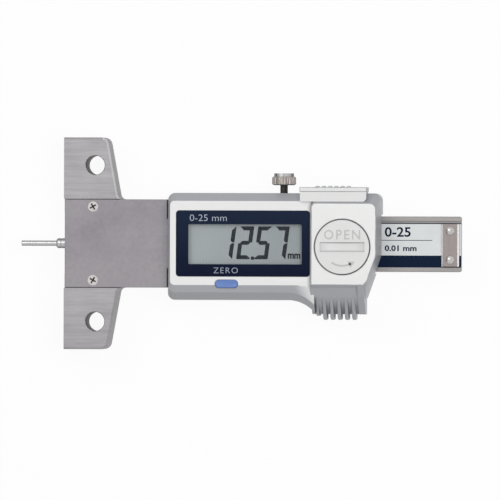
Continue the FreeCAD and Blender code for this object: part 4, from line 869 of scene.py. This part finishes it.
@dataclass
class Slider:
    """Housing, port cap, frame and everything inside."""

    shop: Workshop
    inner: dict[str, str] = field(default_factory=lambda: {
        "gib": "milled_brass", "gib_screws": "bright_steel", "case_screws": "bright_steel",
        "case_gaskets": "seal_rubber", "window_seal": "seal_rubber", "display_connectors": "seal_rubber",
        "circuit_board": "board_green", "signal_chip": "chip_black", "button_switch": "contact_gold",
        "battery_cell": "cell_nickel", "battery_contact_minus": "contact_gold",
        "battery_contact_plus": "contact_gold", "lid_seal": "seal_rubber",
        "port_contacts": "contact_gold",
    })
    case_edging: Edging = Edging(0.16 * MM, 3, 16.0)
    cap_edging: Edging = Edging(0.12 * MM, 3)

    def build(self) -> None:
        """Dress the housing and what it holds."""
        self.shop.softened("housing", "silver_paint", Body.SLIDER, "case_silver", self.case_edging)
        self.shop.softened("port_cap", "cap_paint", Body.SLIDER, "case_silver", self.cap_edging)
        self.shop.softened("slider_frame", "milled_steel", Body.SLIDER, "frame_steel")
        for node, finish in self.inner.items():
            self.shop.plain(node, finish)


@dataclass
class Display:
    """Window, panel and the reading in seven-segment digits."""

    shop: Workshop
    reading: str = "1257"
    field_low: Place = (36.3 * MM, -5.9 * MM)
    field_high: Place = (69.0 * MM, 5.6 * MM)
    window_corner: float = 0.9 * MM
    field_corner: float = 0.25 * MM
    pane_thick: float = 0.33 * MM
    first_left: float = 44.82 * MM
    pitch: float = 5.12 * MM
    digit_width: float = 3.98 * MM
    digit_height: float = 9.45 * MM
    baseline: float = -4.45 * MM
    stroke: float = 1.16 * MM
    corner_gap: float = 0.03 * MM
    middle_gap: float = 0.12 * MM
    blunt: float = 0.28 * MM
    slant: float = 0.136
    ink_thick: float = 0.02 * MM
    ink_lift: float = 0.01 * MM
    point_place: Place = (54.69 * MM, -4.13 * MM)
    point_radius: float = 0.54 * MM
    print_thick: float = 0.015 * MM
    unit: Words = Words("mm", (64.85 * MM, -4.3 * MM), (68.5 * MM, -2.75 * MM), 0.045)
    range_print: Words = Words("0-25 mm", (36.7 * MM, 6.5 * MM), (47.4 * MM, 8.4 * MM), -0.008)
    zero_print: Words = Words("ZERO", (43.6 * MM, -8.5 * MM), (50.6 * MM, -6.85 * MM), -0.012, 1.2)
    lit: dict[str, str] = field(default_factory=lambda: {
        "1": "bc", "2": "abged", "5": "afgcd", "7": "abc",
    })

    def build(self) -> None:
        """Make the window, the glass and the reading."""
        self.window()
        self.shop.plain("display_panel", "display_glass")
        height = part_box("display_panel")[1].z + self.ink_lift
        for number, sign in enumerate(self.reading):
            self.digit(sign, number, height)
        self.point_and_unit(height)
        self.window_prints()

    def window(self) -> None:
        """Dark border with a clear field let into it."""
        low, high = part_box("display_window")
        hole_low, hole_high = Vector((*self.field_low, low.z)), Vector((*self.field_high, high.z))
        mesh = framed(low, high, self.window_corner, hole_low, hole_high, self.field_corner)
        border = self.shop.piece("window_border", mesh, "window_navy", Body.SLIDER, "window_navy",
                                 ("display_window",))
        Edging(0.10 * MM, 2, 40.0).apply(border)
        inset = Vector((self.ink_lift, self.ink_lift, 0))
        sunk = Vector((0, 0, self.ink_thick))
        pane = slab(Vector((*self.field_low, high.z - self.pane_thick)) + inset, hole_high - inset - sunk,
                    self.field_corner)
        self.shop.piece("window_clear_field", pane, "window_clear", Body.SLIDER, "window_navy")

    def bars(self) -> dict[str, tuple[Place, Place, tuple[float, float, float, float]]]:
        """The seven bars of a digit in its own plane.

        Returns:
            For each bar its lower left corner, upper right corner, and the cuts of its lower left,
            lower right, upper left and upper right corners.
        """
        wide, tall, thick = self.digit_width, self.digit_height, self.stroke
        near, part = self.corner_gap, self.middle_gap
        half, mitre, tip, middle = thick / 2, 0.96 * thick, 0.46 * thick, tall / 2
        joint = 0.58 * thick - part + near
        return {
            "a": ((near, tall - thick), (wide - near, tall), (mitre, mitre, self.blunt, self.blunt)),
            "d": ((near, 0.0), (wide - near, thick), (self.blunt, self.blunt, mitre, mitre)),
            "f": ((0.0, middle + part), (thick, tall - near), (0.0, tip, self.blunt, mitre)),
            "e": ((0.0, near), (thick, middle - part), (self.blunt, mitre, 0.0, tip)),
            "b": ((wide - thick, middle + part), (wide, tall - near), (tip, 0.0, mitre, self.blunt)),
            "c": ((wide - thick, near), (wide, middle - part), (mitre, self.blunt, tip, 0.0)),
            "g": ((joint, middle - half), (wide - joint, middle + half), (tip, tip, tip, tip)),
        }

    def digit(self, sign: str, number: int, height: float) -> None:
        """One seven-segment digit.

        Args:
            sign: The digit.
            number: Its place from the left.
            height: Height of the ink's underside.
        """
        bars = self.bars()
        mesh = bmesh.new()
        for part in self.lit[sign]:
            low, high, cuts = bars[part]
            corners = flat_panel(mesh, Vector((*low, height)), Vector((*high, height)))
            corners.sort(key=lambda corner: (round(corner.co.y / MM, 3), corner.co.x))
            for corner, cut in zip(corners, cuts):
                if cut:
                    round_off(mesh, [corner], cut, 1)
        raised(mesh, mesh.faces[:], self.ink_thick)
        lean = Matrix.Identity(4)
        lean[0][1] = self.slant
        place = Matrix.Translation((self.first_left + number * self.pitch, self.baseline, 0))
        bmesh.ops.transform(mesh, matrix=place @ lean, verts=mesh.verts)
        self.shop.piece(f"digit_{number + 1}", mesh, "display_ink", Body.SLIDER, "window_navy")

    def point_and_unit(self, height: float) -> None:
        """The decimal point and the unit.

        Args:
            height: Height of the ink's underside.
        """
        spot = bmesh.new()
        disc = Matrix.Translation((*self.point_place, height + self.ink_thick / 2))
        bmesh.ops.create_cone(spot, cap_ends=True, segments=20, radius1=self.point_radius,
                              radius2=self.point_radius, depth=self.ink_thick, matrix=disc)
        self.shop.piece("decimal_point", spot, "display_ink", Body.SLIDER, "window_navy")
        self.shop.piece("unit_mark", self.unit.solid(height, self.ink_thick), "display_ink",
                        Body.SLIDER, "window_navy")

    def window_prints(self) -> None:
        """Plain generic words printed on the window's border."""
        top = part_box("display_window")[1].z
        prints = {"window_range_print": self.range_print, "window_zero_print": self.zero_print}
        for name, words in prints.items():
            self.shop.piece(name, words.solid(top, self.print_thick), "print_white", Body.SLIDER,
                            "window_navy")


@dataclass
class Controls:
    """Key, battery lid and lock screw."""

    shop: Workshop
    dish_rim: float = 0.34 * MM
    dish_depth: float = 0.12 * MM
    relief: float = 0.05 * MM
    arrow_radius: float = 5.4 * MM
    arrow_width: float = 0.55 * MM
    arrow_head: float = 1.21 * MM
    arrow_start: float = math.radians(236.0)
    arrow_sweep: float = math.radians(62.0)
    arrow_steps: int = 12
    head_bottom: float = 16.95 * MM
    head_top: float = 19.38 * MM
    word: Words = Words("OPEN", (75.6 * MM, 1.3 * MM), (86.0 * MM, 4.1 * MM), 0.01, 1.25)
    key_edging: Edging = Edging(0.05 * MM, 2, 50.0)

    def build(self) -> None:
        """Dress the three hand-worked parts."""
        self.shop.softened("zero_key", "key_blue", Body.KEY, "key_blue", self.key_edging, self.dish)
        self.shop.softened("battery_lid", "lid_paint", Body.LID, "case_silver", Edging(0.05 * MM))
        self.lid_relief()
        screw = self.shop.softened("lock_screw", "knurled_chrome", Body.LOCK, "knurl_chrome",
                                   Edging(0.04 * MM, 1))
        self.shop.finishes.dress_some(screw, "blackened_steel",
                                      lambda centre, normal: centre.y < self.head_bottom)
        self.shop.finishes.dress_some(screw, "crown_chrome",
                                      lambda centre, normal: centre.y > self.head_top)

    def dish(self, mesh: bmesh.types.BMesh) -> None:
        """Sink a shallow finger dish into the key's top.

        Args:
            mesh: The key's merged copy.
        """
        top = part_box("zero_key")[1].z
        crown = [face for face in mesh.faces
                 if face.normal.z > LEVEL and face.calc_center_median().z > top - HAIR]
        bmesh.ops.inset_region(mesh, faces=crown, thickness=self.dish_rim, depth=0.0,
                               use_even_offset=True)
        sunk = {vert for face in crown for vert in face.verts}
        bmesh.ops.translate(mesh, verts=list(sunk), vec=(0, 0, -self.dish_depth))

    def lid_relief(self) -> None:
        """Raised generic word above the coin slot and a turn arrow below it."""
        low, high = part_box("battery_lid")
        # The word and the arrow take a darker paint: painted shade.
        self.shop.piece("lid_word", self.word.solid(high.z, self.relief), "relief_shade_paint", Body.LID,
                        "case_silver")
        arrow = bmesh.new()
        centre = Vector(((low.x + high.x) / 2, (low.y + high.y) / 2, high.z + self.relief / 2))
        start = Matrix.Translation(centre) @ Matrix.Rotation(self.arrow_start, 4, "Z")
        outward = Matrix.Translation((self.arrow_radius, 0, 0))
        across = start @ outward @ Matrix.Rotation(math.pi / 2, 4, "X")
        across = across @ Matrix.Diagonal((self.arrow_width, self.relief, 1, 1))
        bmesh.ops.create_grid(arrow, x_segments=1, y_segments=1, size=0.5, matrix=across)
        bmesh.ops.spin(arrow, geom=arrow.verts[:] + arrow.edges[:] + arrow.faces[:], cent=centre,
                       axis=(0, 0, 1), angle=self.arrow_sweep, steps=self.arrow_steps)
        head = start @ Matrix.Rotation(self.arrow_sweep, 4, "Z") @ outward
        bmesh.ops.create_cone(arrow, cap_ends=True, segments=3, radius1=self.arrow_head,
                              radius2=self.arrow_head, depth=self.relief, matrix=head)
        bmesh.ops.recalc_face_normals(arrow, faces=arrow.faces)
        self.shop.piece("lid_turn_arrow", arrow, "relief_shade_paint", Body.LID, "case_silver")


@dataclass
class MovingBeam:
    """Beam with scale, label and stopper, and the probe that it carries."""

    shop: Workshop
    band_top: float = -3.25 * MM
    line_low: float = 1.03 * MM
    line_high: float = 1.21 * MM
    line_end: float = 106.1 * MM
    edge_shadow_width: float = 0.26 * MM
    print_thick: float = 0.012 * MM
    stopper_edge: float = 0.30 * MM
    range_print: Words = Words("0-25", (92.4 * MM, 2.1 * MM), (99.9 * MM, 4.95 * MM), 0.02)
    step_print: Words = Words("0.01 mm", (92.4 * MM, -2.0 * MM), (101.6 * MM, -0.3 * MM), 0.03)

    def build(self) -> None:
        """Dress the beam and print its label."""
        self.shop.softened("beam", "beam_steel", Body.BEAM, "beam_steel", Edging(0.10 * MM))
        self.shop.plain("scale_strip", "scale_tracks")
        self.shop.plain("beam_label", "label_foil")
        plate = self.shop.softened("stopper_plate", "stopper_steel", Body.BEAM, "stopper_steel",
                                   Edging(0.03 * MM, 1), self.cut_long_edges)
        low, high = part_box("stopper_plate")
        middle, reach = (low.x + high.x) / 2, (high.x - low.x) / 2 - self.stopper_edge
        brink = high.z - self.stopper_edge
        # Painted highlight: the two long chamfers take a near-white steel.
        self.shop.finishes.dress_some(
            plate, "chamfer_highlight_steel",
            lambda centre, normal: abs(centre.x - middle) > reach and centre.z > brink)
        self.shop.softened("stopper_screws", "bright_steel", Body.BEAM, "screw_steel", Edging(0.05 * MM))
        for node in ("probe_rod", "probe_pin"):
            self.shop.softened(node, "probe_steel", Body.BEAM, "probe_steel", Edging(0.04 * MM))
        self.label()

    def cut_long_edges(self, mesh: bmesh.types.BMesh) -> None:
        """Cut the stopper plate's two long upper edges.

        Args:
            mesh: The plate's merged copy.
        """
        low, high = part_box("stopper_plate")

        def on_rim(vert: bmesh.types.BMVert) -> bool:
            """Whether a corner lies on one of the two upper side lines."""
            return vert.co.z > high.z - HAIR and not low.x + HAIR < vert.co.x < high.x - HAIR

        long_edges = [edge for edge in mesh.edges if all(on_rim(vert) for vert in edge.verts)
                      and abs(edge.verts[0].co.x - edge.verts[1].co.x) < HAIR]
        chamfer(mesh, long_edges, self.stopper_edge)

    def label(self) -> None:
        """Dark band along the label's lower edge, a thin line, a painted shadow line along its upper
        edge, and plain numbers.
        """
        low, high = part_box("beam_label")
        top = high.z
        ink = top + self.print_thick
        bars = {
            "label_band": (low.y, high.x, self.band_top),
            "label_line": (self.line_low, self.line_end, self.line_high),
            # Painted shadow: a dark line along the label's upper edge.
            "label_edge_shadow": (high.y - self.edge_shadow_width, high.x, high.y),
        }
        for name, (bottom, end, upper) in bars.items():
            bar = slab(Vector((low.x, bottom, top)), Vector((end, upper, ink)))
            self.shop.piece(name, bar, "print_navy", Body.BEAM, "label_foil")
        prints = {"label_range_print": self.range_print, "label_step_print": self.step_print}
        for name, words in prints.items():
            self.shop.piece(name, words.solid(top, self.print_thick), "print_navy", Body.BEAM,
                            "label_foil")


@dataclass(frozen=True)
class Lamp:
    """One soft square lamp, placed from the point that it is aimed at."""

    name: str
    offset: tuple[float, float, float]
    size: float
    watts: float
    mirrored: bool = True

    def hang(self, target: Vector) -> None:
        """Add the lamp to the scene.

        Args:
            target: Point that it is aimed at.
        """
        data = bpy.data.lights.new(self.name, "AREA")
        data.size = self.size
        data.energy = self.watts
        lamp = bpy.data.objects.new(self.name, data)
        lamp.location = target + Vector(self.offset)
        lamp.rotation_euler = Vector(self.offset).to_track_quat("Z", "Y").to_euler()
        lamp.visible_glossy = self.mirrored
        bpy.context.scene.collection.objects.link(lamp)


@dataclass
class Studio:
    """Floor, light and camera."""

    target: Vector = field(default_factory=lambda: Vector((53.77, -0.49, 5.0)) * MM)
    distance: float = 6.0
    lean: float = math.radians(4.15)
    roll: float = 0.003
    field_width: float = 143.9 * MM
    sensor: float = 36.0
    clip: tuple[float, float] = (0.05, 20.0)
    floor_half: float = 3.0
    floor_gap: float = 0.05 * MM
    floor_tone: float = 0.86
    white_share: float = 0.94
    horizon: float = 0.12
    zenith: float = 0.42
    lamps: tuple[Lamp, ...] = (
        Lamp("upper_left", (-0.20, 0.20, 0.42), 0.25, 0.62),
        Lamp("above", (0.25, 0.03, 0.75), 0.40, 3.15, False),
    )

    def build(self) -> None:
        """Make floor, world, lamps and camera."""
        self.floor()
        self.world()
        for lamp in self.lamps:
            lamp.hang(self.target)
        self.camera()

    def floor(self) -> None:
        """Pale floor that stays white in the picture and still takes a soft shadow."""
        mesh = bmesh.new()
        height = CAD_BOX[0].z - self.floor_gap
        place = Matrix.Translation((self.target.x, self.target.y, height))
        bmesh.ops.create_grid(mesh, x_segments=1, y_segments=1, size=self.floor_half, matrix=place)
        data = bpy.data.meshes.new("floor")
        mesh.to_mesh(data)
        mesh.free()
        floor = bpy.data.objects.new("floor", data)
        bpy.context.scene.collection.objects.link(floor)
        sheet = NodeSheet("pale_floor")
        tone = (self.floor_tone, self.floor_tone, self.floor_tone, 1.0)
        sheet.surface(Base_Color=tone, Roughness=0.9, Specular_IOR_Level=0.1)
        glow = sheet.put("Emission", {"Color": (1.0, 1.0, 1.0, 1.0), "Strength": 1.0})
        path = sheet.put("LightPath")
        seen = sheet.sum("MAXIMUM", path.outputs["Is Camera Ray"], path.outputs["Is Glossy Ray"])
        seen = sheet.sum("MAXIMUM", seen, path.outputs["Is Transmission Ray"])
        share = sheet.sum("MULTIPLY", seen, self.white_share)
        mixed = sheet.put("MixShader", {0: share, 1: sheet.shader.outputs[0], 2: glow.outputs[0]})
        sheet.tree.links.new(mixed.outputs[0], sheet.output.inputs["Surface"])
        floor.data.materials.append(sheet.material)

    def world(self) -> None:
        """White surround for picture and mirrored light, soft light that dims to the horizon."""
        world = bpy.data.worlds.new("studio")
        world.use_nodes = True
        bpy.context.scene.world = world
        nodes, links = world.node_tree.nodes, world.node_tree.links
        background = nodes["Background"]
        background.inputs["Color"].default_value = (1.0, 1.0, 1.0, 1.0)
        parts = nodes.new("ShaderNodeSeparateXYZ")
        links.new(nodes.new("ShaderNodeTexCoord").outputs["Generated"], parts.inputs[0])
        sky = nodes.new("ShaderNodeMapRange")
        sky.inputs["To Min"].default_value = self.horizon
        sky.inputs["To Max"].default_value = self.zenith
        links.new(parts.outputs["Z"], sky.inputs["Value"])
        path = nodes.new("ShaderNodeLightPath")
        strength = sky.outputs[0]
        for kind in ("Is Camera Ray", "Is Glossy Ray", "Is Transmission Ray"):
            either = nodes.new("ShaderNodeMath")
            either.operation = "MAXIMUM"
            links.new(strength, either.inputs[0])
            links.new(path.outputs[kind], either.inputs[1])
            strength = either.outputs[0]
        links.new(strength, background.inputs["Strength"])

    def camera(self) -> None:
        """Camera that looks down on the gauge, a little from its beam end."""
        data = bpy.data.cameras.new("camera")
        data.sensor_width = self.sensor
        data.lens = self.sensor * self.distance / self.field_width
        data.clip_start, data.clip_end = self.clip
        camera = bpy.data.objects.new("camera", data)
        upwards = Vector((math.sin(self.lean), 0, math.cos(self.lean)))
        camera.location = self.target + self.distance * upwards
        camera.rotation_euler = (0, self.lean, self.roll)
        bpy.context.scene.collection.objects.link(camera)
        bpy.context.scene.camera = camera


def main() -> None:
    """Build every sub-assembly, then the studio round it."""
    logging.basicConfig(level=logging.INFO, format="%(message)s")
    shop = Workshop(Finishes())
    for part in (CrossBase(shop), Slider(shop), Display(shop), Controls(shop), MovingBeam(shop)):
        part.build()
    Studio().build()
    bpy.context.scene.view_settings.view_transform = "Standard"


if __name__ == "__main__":
    main()
